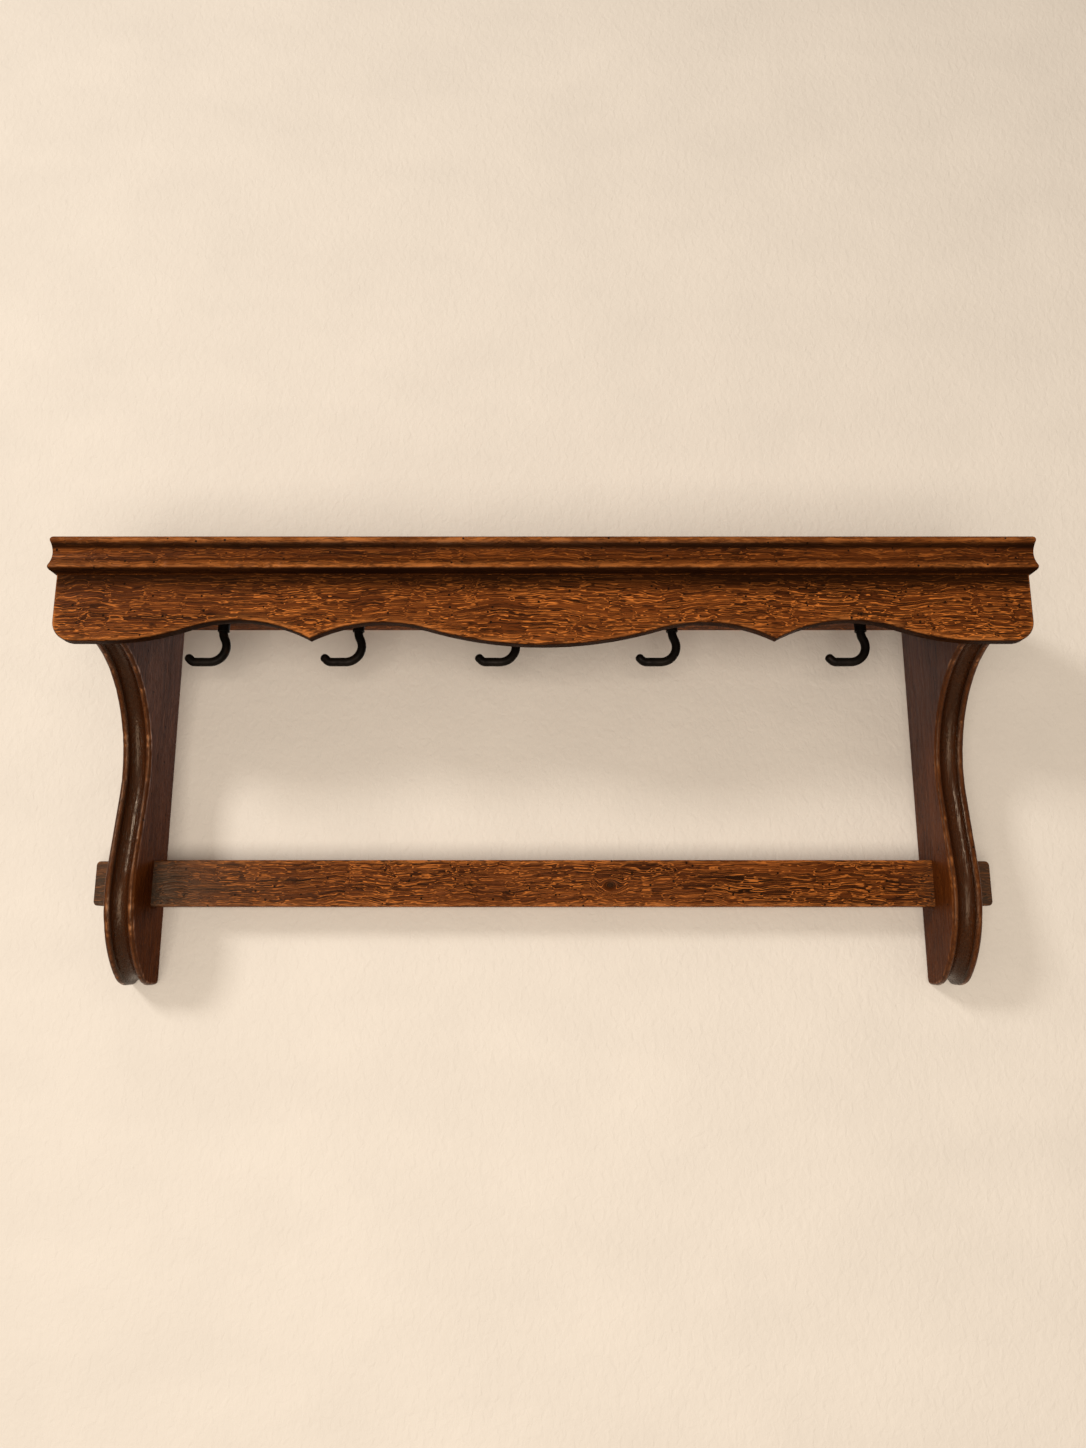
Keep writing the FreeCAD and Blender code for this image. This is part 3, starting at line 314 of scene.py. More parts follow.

# %% [markdown]
# The whole finish turns the plank first, so that its grain lies along the first axis, and then one net
# serves planks that run in any direction. Two marks on the pieces' points steer the rest: wear on edges
# that hands have rubbed down to the orange wood, and a dark mark that holds dust and dirt in some places
# and painted shade in others: under beads, in the moulding's quirks and below the moulding. Worm holes
# are the middles of a cell pattern. Gloss and relief read the same patterns as the colour does, so a
# dark streak is also rougher and a pore is also a pit.


# %% Stained oak
def stained_oak(
    name, turn, start, tone=1.0, rays=1.0, streaks=1.0, spots=0.10, holed=0.6,
    polish=(0.50, 0.34, 0.05), shine=(0.06, 0.06, -0.05), knot=None,
):
    """Dark oak; turn brings the grain to the first axis, and start picks a stretch of plank.

    tone is the lightness of the stain, rays and streaks the strength of the orange flecks and of the dark
    streaks, spots the share of the wear between its brightest spots, and holed how common worm holes are.
    polish is the roughness in dark and in light grain, and what the dirt_and_shade mark adds to it. shine
    is how much a flat face reflects, and what wear and the dirt_and_shade mark add to that.
    """
    finish, tree, surface, place = start_finish(name)
    core = None
    if knot:
        place, core = round_knot(tree, place, knot, 0.015)
    plank = add(tree, "Mapping", {"Vector": place, "Location": start, "Rotation": turn}).outputs[0]
    grain = sway(tree, sway(tree, plank, 14.0, 0.015), 46.0, 0.0040)
    patch = clouds(tree, plank, (11.0, 19.0, 19.0), detail=4.0, roughness=0.6)
    colour, broad, streak, fleck, pores = oak_figure(tree, grain, patch, tone, rays, streaks)

    cells = add(tree, "TexVoronoi", {"Vector": plank, "Scale": 110.0})
    rare = add(tree, "SeparateColor", {"Color": cells.outputs["Color"]}).outputs[0]
    holes = ease(tree, cells.outputs["Distance"], 0.10, 0.15, 1.0, 0.0)
    holes = sums(tree, "MULTIPLY", holes, ease(tree, rare, 1.0 - holed, 1.01 - holed))
    worn = add(tree, "Attribute", {}, attribute_name="wear").outputs["Fac"]
    rub = clouds(tree, plank, (64.0, 330.0, 330.0), detail=3.0, roughness=0.6)
    worn = sums(tree, "MULTIPLY", worn, ease(tree, patch, 0.36, 0.62, 0.35, 1.0))
    worn = sums(tree, "MULTIPLY", worn, ease(tree, rub, 0.42, 0.58, spots, 1.0))
    colour = tint(tree, worn, colour, bare_wood)
    # The dirt_and_shade mark darkens the colour: partly real dirt and dust, partly painted shade under
    # beads, in quirks and below the moulding.
    dirt_and_shade_mask = add(tree, "Attribute", {}, attribute_name="dirt_and_shade").outputs["Fac"]
    dirt_and_shade_mask = sums(tree, "MULTIPLY", dirt_and_shade_mask, ease(tree, broad, 0.30, 0.62, 1.0, 0.9))
    if core:
        holes = sums(tree, "MAXIMUM", holes, ease(tree, core, 0.0015, 0.006, 0.9, 0.0))
    colour = tint(tree, sums(tree, "MAXIMUM", dirt_and_shade_mask, holes), colour, grime_and_shade)
    tree.links.new(colour, surface.inputs["Base Color"])

    gloss = ease(tree, streak, 0.3, 0.7, *polish[:2])
    gloss = sums(tree, "ADD", gloss, sums(tree, "MULTIPLY", dirt_and_shade_mask, polish[2]))
    tree.links.new(gloss, surface.inputs["Roughness"])
    on_worn, on_dirty = sums(tree, "MULTIPLY", worn, shine[1]), sums(tree, "MULTIPLY", dirt_and_shade_mask, shine[2])
    mirror = sums(tree, "ADD", sums(tree, "ADD", on_worn, on_dirty), shine[0])
    tree.links.new(mirror, surface.inputs["Specular IOR Level"])
    surface.inputs["Specular Tint"].default_value = (1.0, 0.78, 0.56, 1.0)
    relief = sums(tree, "SUBTRACT", sums(tree, "MULTIPLY", fleck, 0.9), pores)
    relief = sums(tree, "ADD", relief, sums(tree, "MULTIPLY", streak, 0.9))
    relief = sums(tree, "SUBTRACT", relief, sums(tree, "MULTIPLY", holes, 4.0))
    emboss(tree, surface, relief, 0.40, 0.0008)
    return finish


print("stained oak is ready to be mixed")

# %% [markdown]
# Each piece gets its own mixture. The moulding has been waxed and is worn to orange on its beads, the
# brackets are plain boards whose moulded hollows are dark but glossy, and the rail and the apron show the
# boldest flecks. The right bracket's stain is made lighter than the left's, as painted light for the
# daylight from the left on its inner face. Every mixture starts at another stretch of plank, so no two
# pieces look alike.

# %% Oak for each piece
quarter, lying = math.pi / 2, (0.0, 0.0, 0.0)
oak_lengthwise = stained_oak("stained oak, lengthwise", lying, (0.0, 0.0, 0.0), tone=1.07)
waxed = {
    "tone": 0.88, "rays": 0.5, "spots": 0.3,
    "polish": (0.42, 0.28, 0.05), "shine": (0.06, 0.14, -0.055),
}
oak_moulding = stained_oak("stained oak, moulding", lying, (0.9, 0.5, 0.4), **waxed)
oak_returns = stained_oak("stained oak, returns", (0.0, 0.0, -quarter), (0.7, 0.3, 0.2), **waxed)
upright = {
    "turn": (0.0, quarter, 0.0), "rays": 0.14, "streaks": 0.5, "holed": 0.15,
    "polish": (0.46, 0.38, -0.24),
}
oak_left = stained_oak(
    "stained oak, left bracket", start=(1.4, 0.1, 0.6), tone=0.85, shine=(0.006, 0.60, 0.42), **upright
)
# Painted light: tone 0.95 here against 0.85 on the left bracket lights the right bracket's inner face.
oak_right_lit = stained_oak(
    "stained oak, right bracket, painted lighter", start=(1.1, 0.3, 0.2), tone=0.95, shine=(0.030, 0.50, 0.34), **upright
)
oak_rail = stained_oak(
    "stained oak, rail", lying, (0.35, 0.8, 0.15),
    polish=(0.46, 0.30, 0.05), shine=(0.05, 0.08, 0.62), knot=(0.067, -0.035, -0.2254),
)
oaks = (oak_lengthwise, oak_moulding, oak_returns, oak_left, oak_right_lit, oak_rail)
print("oak finishes:", *[oak.name for oak in oaks], sep="; ")

# %% [markdown]
# The hooks and rosettes are wrought iron, nearly black from old wax and scale, with brown where rust
# starts. Rough places scatter light and rubbed ones shine, so colour and roughness share one texture.
# The hammer leaves shallow dents, which a bump of soft clouds gives without any extra faces. The plates'
# steel is the same net in lighter greys. Dowels and blocks are plain beech, as they never see daylight.


# %% Iron, steel and beech
def metal(name, dark, light, rust, shine, dents):
    """Metal between two greys, with rust.

    shine is its roughness where it is dark and where it is light, dents the relief's depth in metres.
    """
    finish, tree, surface, place = start_finish(name)
    scale = clouds(tree, place, (150.0, 150.0, 150.0), detail=5.0, roughness=0.65)
    hammer = clouds(tree, place, (210.0, 210.0, 120.0), detail=1.0)
    rusty = ease(tree, clouds(tree, place, (55.0, 55.0, 55.0), detail=6.0, roughness=0.7), 0.56, 0.72)
    rubbed = add(tree, "Attribute", {}, attribute_name="wear").outputs["Fac"]
    colour = shades(tree, scale, [(0.3, dark), (0.72, light)])
    colour = tint(tree, rusty, colour, (*rust, 1.0))
    colour = tint(tree, sums(tree, "MULTIPLY", rubbed, scale), colour, (*[2.2 * c for c in light], 1.0))
    tree.links.new(colour, surface.inputs["Base Color"])
    tree.links.new(ease(tree, scale, 0.3, 0.7, *shine), surface.inputs["Roughness"])
    surface.inputs["Metallic"].default_value = 0.35
    surface.inputs["Specular IOR Level"].default_value = 0.06
    relief = sums(tree, "ADD", hammer, sums(tree, "MULTIPLY", scale, 0.35))
    emboss(tree, surface, relief, 0.5, dents)
    return finish


def plain_wood(name, dark, light):
    """Unstained wood with straight fine grain, for pieces that don't show from the front."""
    finish, tree, surface, place = start_finish(name)
    streak = clouds(tree, place, (12.0, 170.0, 170.0), detail=5.0, roughness=0.6)
    pore = clouds(tree, place, (160.0, 1300.0, 1300.0), detail=2.0)
    colour = shades(tree, streak, [(0.35, dark), (0.65, light)])
    colour = tint(tree, ease(tree, pore, 0.58, 0.66, 0.0, 0.5), colour, (*[0.5 * c for c in dark], 1.0))
    tree.links.new(colour, surface.inputs["Base Color"])
    tree.links.new(ease(tree, streak, 0.3, 0.7, 0.68, 0.5), surface.inputs["Roughness"])
    emboss(tree, surface, streak, 0.3, 0.0006)
    return finish


black_iron = metal(
    "black iron", dark=(0.0025, 0.0020, 0.0016), light=(0.0080, 0.0060, 0.0045),
    rust=(0.020, 0.009, 0.0045), shine=(0.58, 0.36), dents=0.0007,
)
plain_steel = metal(
    "plain steel", dark=(0.22, 0.21, 0.20), light=(0.40, 0.39, 0.37),
    rust=(0.16, 0.09, 0.05), shine=(0.48, 0.30), dents=0.0002,
)
plain_beech = plain_wood("plain beech", (0.36, 0.21, 0.10), (0.56, 0.37, 0.20))
print("metal and plain wood:", black_iron.name, plain_steel.name, plain_beech.name, sep="; ")

# %% [markdown]
# Every wooden piece here is a section carried along a path: a grid of points, one row per station along
# the piece and one column per place round the section. Blender's curves could sweep a section too, but
# they can't carry marks for wear and for dirt and painted shade, and a grid can. This helper turns any
# such grid into a closed mesh. Points that fall together, at poles and where a face runs out, are
# merged, and then the faces are turned outwards.


# %% From grid to mesh
def lay_surface(name, grid, wear=0.0, dirt_and_shade=0.0, ring=False):
    """Closed mesh from a grid of points in millimetres.

    Its rows lie along the piece and its columns round the section. Each face joins a point to the next
    row and the next column, and the last column joins the first. The two ends get one flat face each, or,
    in a ring, the last row joins the first.
    """
    rows, columns = grid.shape[:2]
    number = np.arange(rows * columns).reshape(rows, columns)
    here, after = (number, np.roll(number, -1, axis=0)) if ring else (number[:-1], number[1:])
    corners = [here, after, np.roll(after, -1, axis=1), np.roll(here, -1, axis=1)]
    faces = np.stack(corners, axis=-1).reshape(-1, 4).tolist()
    faces += [] if ring else [number[0].tolist(), number[-1].tolist()]
    mesh = bpy.data.meshes.new(name)
    mesh.from_pydata((grid.reshape(-1, 3) / 1000).tolist(), [], faces)
    # The dirt_and_shade mark holds dust and dirt on some pieces and painted shade on others.
    for mark, amount in (("wear", wear), ("dirt_and_shade", dirt_and_shade)):
        spread = np.clip(np.broadcast_to(amount, (rows, columns)), 0, 1).astype(np.float32)
        mesh.attributes.new(mark, "FLOAT", "POINT").data.foreach_set("value", spread.ravel())
    shell = bmesh.new()
    shell.from_mesh(mesh)
    bmesh.ops.remove_doubles(shell, verts=shell.verts, dist=1e-5)
    bmesh.ops.dissolve_degenerate(shell, edges=shell.edges, dist=1e-6)
    bmesh.ops.recalc_face_normals(shell, faces=shell.faces)
    shell.to_mesh(mesh)
    shell.free()
    piece = bpy.data.objects.new(name, mesh)
    bpy.context.collection.objects.link(piece)
    return piece


crease = math.radians(38)


def fit(piece, node, finish, body="frame"):
    """Puts a piece in the place of a CAD node: its finish, its shading, and the body that it rides on."""
    mesh = piece.data
    mesh.polygons.foreach_set("use_smooth", np.ones(len(mesh.polygons), dtype=bool))
    mesh.set_sharp_from_angle(angle=crease)
    mesh.materials.append(finish)
    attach(piece, body)
    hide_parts(node)
    print(f"{piece.name}: {len(mesh.vertices)} points, {len(mesh.polygons)} faces")


print("grid helpers are ready")

# %% [markdown]
# The top board is one flat oak plank. Its front and ends disappear behind the moulding, but from above a
# thin dark line shows where the two meet. A cube with a Bevel modifier would do as well; as a grid it is
# a rectangle with eased corners carried along the shelf. The eased corners leave that line.


# %% Top board
def eased_rectangle(per_corner=5, per_side=10):
    """Two tables for a rectangle with round corners.

    A point is the half sizes times the first table + the radius times the second. At a corner the first
    is (+-1, +-1) and the second is (cosine, sine) minus that; along a side both run evenly from one
    corner to the next.
    """
    turn = np.radians(np.linspace(0, 90, per_corner))[None] + np.radians([0, 90, 180, 270])[:, None]
    signs = np.array([(1, 1), (-1, 1), (-1, -1), (1, -1)])[:, None, :]
    sizes = np.broadcast_to(signs, (4, per_corner, 2)).astype(float)
    rounds = np.stack([np.cos(turn), np.sin(turn)], axis=-1) - signs
    share = np.linspace(0, 1, per_side + 2)[1:-1][None, :, None]
    tables = []
    for table in (sizes, rounds):
        start, end = table[:, -1:], np.roll(table[:, :1], -1, axis=0)
        tables.append(np.concatenate([table, start + share * (end - start)], axis=1).reshape(-1, 2))
    return tables


half_board, board_depth, foot, head, board_easing = 448.0, 172.0, 50.0, 86.0, 0.8
corner_signs, corner_rounds = eased_rectangle(per_side=16)
board_section = corner_signs * (board_depth / 2, (head - foot) / 2) + board_easing * corner_rounds
stations = np.linspace(-half_board, half_board, 90)
board_grid = np.empty((len(stations), len(board_section), 3))
board_grid[..., 0] = stations[:, None]
board_grid[..., 1] = board_section[:, 0] - board_depth / 2
board_grid[..., 2] = board_section[:, 1] + (head + foot) / 2
board = lay_surface("oak_top", board_grid)
fit(board, "top_board", oak_lengthwise)

# %% [markdown]
# A moulding runs round the front and ends of the board: a bead above, a bead below and a cove between.
# A joiner runs it off in one length and cuts mitres at the corners. The same happens here: one section
# is carried along three edges, and each point runs on past the corner by as much as it stands out, which
# makes the mitre. The beads catch every knock, so they are a little uneven and worn. Shade is painted
# into the colour as if the light came from above: a dark line in the cove just below the upper bead, a
# thin one low in the cove, and the underside of the lower bead.


# %% Section of the moulding
def arc(centre, radius, first, last, count):
    """Points on a circle from one angle to another in degrees: centre + radius times (cosine, sine)."""
    turn = np.radians(np.linspace(first, last, count))
    return np.array(centre) + radius * np.stack([np.cos(turn), np.sin(turn)], axis=-1)


def line(first, last, count):
    """Points evenly spaced on a straight line."""
    return np.linspace(np.array(first, float), np.array(last, float), count)


def moulding_section():
    """Outline of the moulding as (outward, up): foot, bead, cove, bead, lid and back.

    The cove is a circle that touches both beads: its centre lies on a line with each bead's centre.
    """
    bead, reach, low, high, hollow = 4.0, 2.5, 6.0, 32.0, 2.7
    rise = (high - low) / 2
    cove = (rise**2 / hollow + hollow) / 2 - bead
    middle = (reach + bead - hollow + cove, low + rise)
    meet = math.degrees(math.atan2(high - middle[1], reach - middle[0]))
    slope = math.degrees(math.atan2(low, reach) - math.asin(bead / math.hypot(reach, low)))
    lower_bead = arc((reach, low), bead, slope - 90, 180 - meet, 18)
    return np.concatenate([
        line((0, 0), lower_bead[0], 5)[:-1],
        lower_bead[:-1],
        arc(middle, cove, 360 - meet, meet, 22)[:-1],
        arc((reach, high), bead, meet - 180, 90, 18),
        line((reach, high + bead), (0, high + bead), 4)[1:],
        line((0, high + bead), (0, 0), 8)[1:-1],
    ])


section = moulding_section()
outward, upward = section.T
crest_from, crest_rise, underside = 4.6, 1.9, 4.9
upper_quirk, lower_quirk = 26.6, 13.2
crest = np.clip((outward - crest_from) / crest_rise, 0, 1)
# Painted shade: the underside of the lower bead and two lines in the cove are darkened as if lit from
# above, and the wear stops where that shade starts.
under_bead_shade = 1 / (1 + np.exp((upward - underside) / 0.35))
moulding_wear = crest**1.1 * (1 - under_bead_shade)
quirk_shade = 1.3 * np.exp(-(((upward - upper_quirk) / 3.0) ** 2))
quirk_shade = quirk_shade + 0.5 * np.exp(-(((upward - lower_quirk) / 1.1) ** 2))
moulding_painted_shade = np.where(outward > 0.1, quirk_shade + under_bead_shade, 0)
print("moulding stands out", outward.max(), "mm and is", upward.max(), "mm high")


# %% Three lengths of moulding
def unevenness(along, seed, shortest=14.0, longest=130.0):
    """Waves between 0 and 1, as a plane leaves them: six sines of seeded pitch and phase, averaged."""
    chance = np.random.default_rng(seed)
    pitch, phase = chance.uniform(shortest, longest, 6), chance.uniform(0, 2 * np.pi, 6)
    return 0.5 + 0.5 * np.sin(np.asarray(along)[..., None] * 2 * np.pi / pitch + phase).mean(axis=-1)


def nicks(along, seed, count, reach, deepest):
    """Depth of small dents: bell curves of seeded place, width and depth, of which the deepest counts."""
    chance = np.random.default_rng(seed)
    place, width = chance.uniform(-reach, reach, count), chance.uniform(1.5, 5.0, count)
    depth = deepest * chance.uniform(0.3, 1.0, count)
    return (depth * np.exp(-(((np.asarray(along)[..., None] - place) / width) ** 2))).max(axis=-1)


def moulding_length(name, node, along, spread, finish, seed):
    """The section carried along one edge of the board; spread turns (along, outward) into (x, y).

    A dent moves a point back towards the board by its depth, as far as the point lies on a bead's crest.
    Hands have worn the beads most a little left of the shelf's middle, by a bell curve.
    """
    cove_middle, most_worn, worn_reach = 18.0, -150.0, 210.0
    run = along * half_board
    high = nicks(run, seed, count=26, reach=half_board, deepest=0.8)
    low = nicks(run, seed + 1, count=34, reach=half_board, deepest=1.0)
    high, low = high + 0.3 * unevenness(run, seed), low + 0.3 * unevenness(run, seed + 1)
    dented = np.where(upward > cove_middle, high[:, None], low[:, None])
    back = outward - crest * dented
    grid = np.empty((len(along), len(section), 3))
    grid[..., 0], grid[..., 1] = spread(along[:, None], back)
    grid[..., 2] = foot + upward
    fresh = np.clip(dented / 1.2, 0.25, 1)
    handled = (0.8 + 0.5 * np.exp(-(((run - most_worn) / worn_reach) ** 2)))[:, None]
    piece = lay_surface(name, grid, moulding_wear * handled * (0.6 + 0.4 * fresh), moulding_painted_shade)
    fit(piece, node, finish)


moulding_length(
    "front_moulding", "front_cornice", np.linspace(-1, 1, 480),
    lambda t, p: (t * (half_board + p), -(board_depth + p)), oak_moulding, 11,
)
moulding_length(
    "left_moulding", "left_cornice_return", np.linspace(0, 1, 110),
    lambda t, p: (-(half_board + p), -t * (board_depth + p)), oak_returns, 21,
)
moulding_length(
    "right_moulding", "right_cornice_return", np.linspace(0, 1, 110),
    lambda t, p: (half_board + p, -t * (board_depth + p)), oak_returns, 31,
)

# %% [markdown]
# The apron is a thin board under the front edge, sawn into scallops: a flat lobe at each end, two arches
# with a point between them, and a shallow belly in the middle. All the curves are circles, and where one
# runs smoothly into the next, both centres and the meeting point lie on one straight line. That gives
# the whole outline from a handful of sizes.


# %% Outline of the apron
def apron_half():
    """Right half of the apron's lower outline as (x, z), from the middle to the top of the end."""
    end, lobe_x, lobe_z, belly_z, corner = half_board, 401.408, -13.3, -16.8, 19.0
    outer, outer_radius = np.array((280.448, 6.5 - 140)), 140.0
    inner, inner_radius = np.array((146.944, 4.5 - 146)), 146.0

    def smooth_radius(arch, radius, lowest):
        """Radius of the round that sits on its lowest point and touches the arch from outside."""
        across, up = lowest - arch
        return (across**2 + up**2 - radius**2) / (2 * (radius - up))

    lobe_radius = smooth_radius(outer, outer_radius, np.array((lobe_x, lobe_z)))
    belly_radius = smooth_radius(inner, inner_radius, np.array((0.0, belly_z)))
    lobe, belly = np.array((lobe_x, lobe_z + lobe_radius)), np.array((0.0, belly_z + belly_radius))
    apart = np.linalg.norm(outer - inner)
    along = (inner_radius**2 - outer_radius**2 + apart**2) / (2 * apart)
    toward = (outer - inner) / apart
    aside = np.array((-toward[1], toward[0]))
    point = inner + along * toward + math.sqrt(inner_radius**2 - along**2) * aside

    def bearing(centre, place):
        return math.degrees(math.atan2(place[1] - centre[1], place[0] - centre[0]))

    rise, fall = bearing(outer, lobe), bearing(belly, inner)
    return np.concatenate([
        arc(belly, belly_radius, -90, fall, 48)[:-1],
        arc(inner, inner_radius, 180 + fall, bearing(inner, point), 42)[:-1],
        arc(outer, outer_radius, bearing(outer, point), rise, 50)[:-1],
        arc(lobe, lobe_radius, rise - 180, -90, 34)[:-1],
        line((lobe_x, lobe_z), (end - corner, lobe_z), 10)[:-1],
        arc((end - corner, lobe_z + corner), corner, -90, 0, 22)[:-1],
        line((end, lobe_z + corner), (end, foot), 18),
    ])


right_half = apron_half()
apron_outline = np.concatenate([right_half[:0:-1] * (-1, 1), right_half])
print("apron outline:", len(apron_outline), "points, lowest", apron_outline[:, 1].min(), "mm")

# %% [markdown]
# With the outline known, the apron is a grid: one row per point of the outline, and columns that run down
# the front, round the lower edge and up the back. The front arris is rubbed round, more in some places
# than in others, and the wear mark is strongest there. The upper part lies in the shadow of the moulding,
# and that shadow is painted into its colour; so is the shade on the underside of the lower edge.


# %% Apron
def inward_normals(outline):
    """Unit normals to the left of an open outline.

    At a sharp point it is the one that halves the angle, lengthened so that the inset stays even.
    """
    step = np.diff(outline, axis=0)
    step = step / np.linalg.norm(step, axis=1)[:, None]
    before, after = np.vstack([step[:1], step]), np.vstack([step, step[-1:]])
    middle = before + after
    middle = middle / np.linalg.norm(middle, axis=1)[:, None]
    stretch = 1 / np.maximum((middle * after).sum(axis=1), 0.6)
    return np.stack([-middle[:, 1], middle[:, 0]], axis=-1) * stretch[:, None]


def apron_grid(outline, front, back):
    """Rows along the outline; columns down the front, round the lower edge and up the back.

    The faces end short of the outline by the arris radius, and a quarter circle bridges each gap. Above
    the end lobes the columns fan out to the top corner, since the outline turns upright there. The
    painted shadow of the moulding fades downwards along an S, half of it at the shaded depth, and the
    underside of the lower edge gets painted shade.
    """
    fan_from, back_round, shaded, fade = 380.0, 0.8, 12.5, 3.0
    inward = inward_normals(outline)
    travelled = np.concatenate([[0], np.cumsum(np.linalg.norm(np.diff(outline, axis=0), axis=1))])
    round_front = (1.2 + 1.1 * unevenness(travelled, 41, 30, 210))[:, None]
    round_back = np.full_like(round_front, back_round)
    side, fan = np.sign(outline[:, 0]), np.abs(outline[:, 0]) > fan_from
    run = np.minimum(travelled, travelled[-1] - travelled)
    fan_run = run[fan].max()
    columns, wear, dirt_and_shade = [], [], []

    def face(radius, y, shares):
        inset = outline + inward * radius
        spread = fan_from + (np.abs(inset[:, 0])[-1] - fan_from) * (1 - run / fan_run)
        top = np.stack([np.where(fan, side * spread, inset[:, 0]), np.full(len(outline), foot)], axis=-1)
        places = top[:, None] + shares[None, :, None] * (inset - top)[:, None]
        below = np.linalg.norm(inset - top, axis=1)[:, None] * (1 - shares)
        columns.append(np.insert(places, 1, y, axis=2))
        wear.append(0.55 * np.exp(-below / 1.6) + 0.1 * np.exp(-below / 10.0))
        # Painted shadow of the moulding: darker down to the shaded depth.
        dirt_and_shade.append(1.0 / (1 + np.exp((foot - places[..., 1] - shaded) / fade)))

    def edge(radius, y, direction, turns):
        centre = outline + inward * radius
        swing = np.radians(turns)[None]
        places = centre[:, None] - inward[:, None] * (radius * np.cos(swing))[..., None]
        depth = y + direction * radius * (1 - np.sin(swing))
        columns.append(np.stack([places[..., 0], depth, places[..., 1]], axis=-1))
        wear.append(np.broadcast_to(0.9 * np.sin(swing), depth.shape))
        # Painted shade on the underside of the lower edge.
        dirt_and_shade.append(np.broadcast_to(0.95 * np.cos(swing) ** 2, depth.shape))

    shares = 1 - np.linspace(1, 0, 26) ** 1.8
    face(round_front, front, shares)
    edge(round_front, front, 1, np.linspace(80, 0, 8))
    edge(round_back, back, -1, np.linspace(0, 80, 5))
    face(round_back, back, shares[::-2])
    return [np.concatenate(table, axis=1) for table in (columns, wear, dirt_and_shade)]


apron_back = 160.0
apron = lay_surface("scalloped_apron", *apron_grid(apron_outline, -board_depth, -apron_back))
fit(apron, "apron", oak_lengthwise)

# %% [markdown]
# The brackets are what takes the most skill on the real shelf. Each is a thick board sawn to an S, and
# its whole front edge is worked with a scratch stock into a bead, a deep cove and a second bead, which
# have to follow the curve without a break. First the S: a hollow sweep under the apron, a straight flank
# that touches both sweeps, a round bulge, a foot and a small heel at the wall.


# %% The S of a bracket
def bracket_outline():
    """Front outline as (depth from the wall, z), from the apron down and round to the wall."""
    hollow, hollow_radius = np.array((177.5, -119.5)), 112.5
    bulge, bulge_radius = np.array((-23.0, -231.5)), 105.5
    toe_turn, toe_radius = 52.3, 40.0
    across = hollow - bulge
    lean = math.degrees(math.acos((hollow_radius + bulge_radius) / np.linalg.norm(across)))
    flank = math.degrees(math.atan2(across[1], across[0])) - lean
    hollow_arc = arc(hollow, hollow_radius, 90, 180 + flank, 110)
    bulge_arc = arc(bulge, bulge_radius, flank, -toe_turn, 72)
    swing = math.radians(toe_turn)
    toe = bulge_arc[-1] - toe_radius * np.array((math.cos(swing), -math.sin(swing)))
    sole = toe[1] - toe_radius
    return np.concatenate([
        hollow_arc[:-1],
        line(hollow_arc[-1], bulge_arc[0], 30)[:-1],
        bulge_arc[:-1],
        arc(toe, toe_radius, -toe_turn, -90, 24)[:-1],
        line((toe[0], sole), (0, sole), 26),
    ])


s_line = bracket_outline()
print("S line:", len(s_line), "points, foot at", round(s_line[:, 1].min(), 1), "mm")

# %% [markdown]
# Now the moulded edge. Across the thickness the cutter leaves a bead, a cove and a bead, each an arc over
# its own width; the depth below the outline is the second parameter of the surface. At every station the
# row runs over one side face, across the moulding, back over the other side face and along the wall.
# The heel at the wall is rounded off last, right across the moulding, and where the sweep would pass
# behind the apron it is cut square.


# %% Moulded edge
def bow(across, width, height):
    """Height of an arc over a chord: the circle's height minus its height at the chord's end."""
    radius = (width**2 / 4 + height**2) / (2 * height)
    return np.sqrt(np.maximum(radius**2 - (across - width / 2) ** 2, 0)) - (radius - height)


def edge_section():
    """Place across the thickness, depth below the outline, and the marks for wear and darkening.

    Crests and arrises are worn, by powers of the height and by e-curves from the two sides, and what
    isn't worn is darker, most of all where a bead meets the cove.
    """
    inner, cove, outer, bead, planing, hollow_share = 5.5, 16.0, 6.5, 1.87, 0.4, 0.36
    widths = [np.linspace(0, inner, 15), np.linspace(0, cove, 25), np.linspace(0, outer, 17)]
    hollow = -bow(widths[1], cove, hollow_share * cove)
    heights = [bow(widths[0], inner, bead), hollow, bow(widths[2], outer, bead)]
    starts = [0.0, inner, inner + cove]
    across = np.concatenate([start + width for start, width in zip(starts, widths)])
    height = np.concatenate(heights)
    wear = np.clip(height / bead, 0, 1) ** 3
    arris = np.exp(-np.minimum(across, across[-1] - across) / 0.6)
    wear = np.maximum(wear, arris)
    dirt_and_shade = (0.72 + 0.26 * np.exp(-(((height + 0.1) / 0.7) ** 2)) - 0.35 * wear) * (1 - arris)
    keep = np.append(True, np.diff(across) > 1e-9)
    return across[keep], (planing + bead - height)[keep], wear[keep], dirt_and_shade[keep]


edge_across, edge_depth, edge_wear, edge_darkening = edge_section()
print("moulded edge:", len(edge_across), "points across, deepest", round(edge_depth.max(), 2), "mm")


# %% Bracket surface
inner_face = 389.0


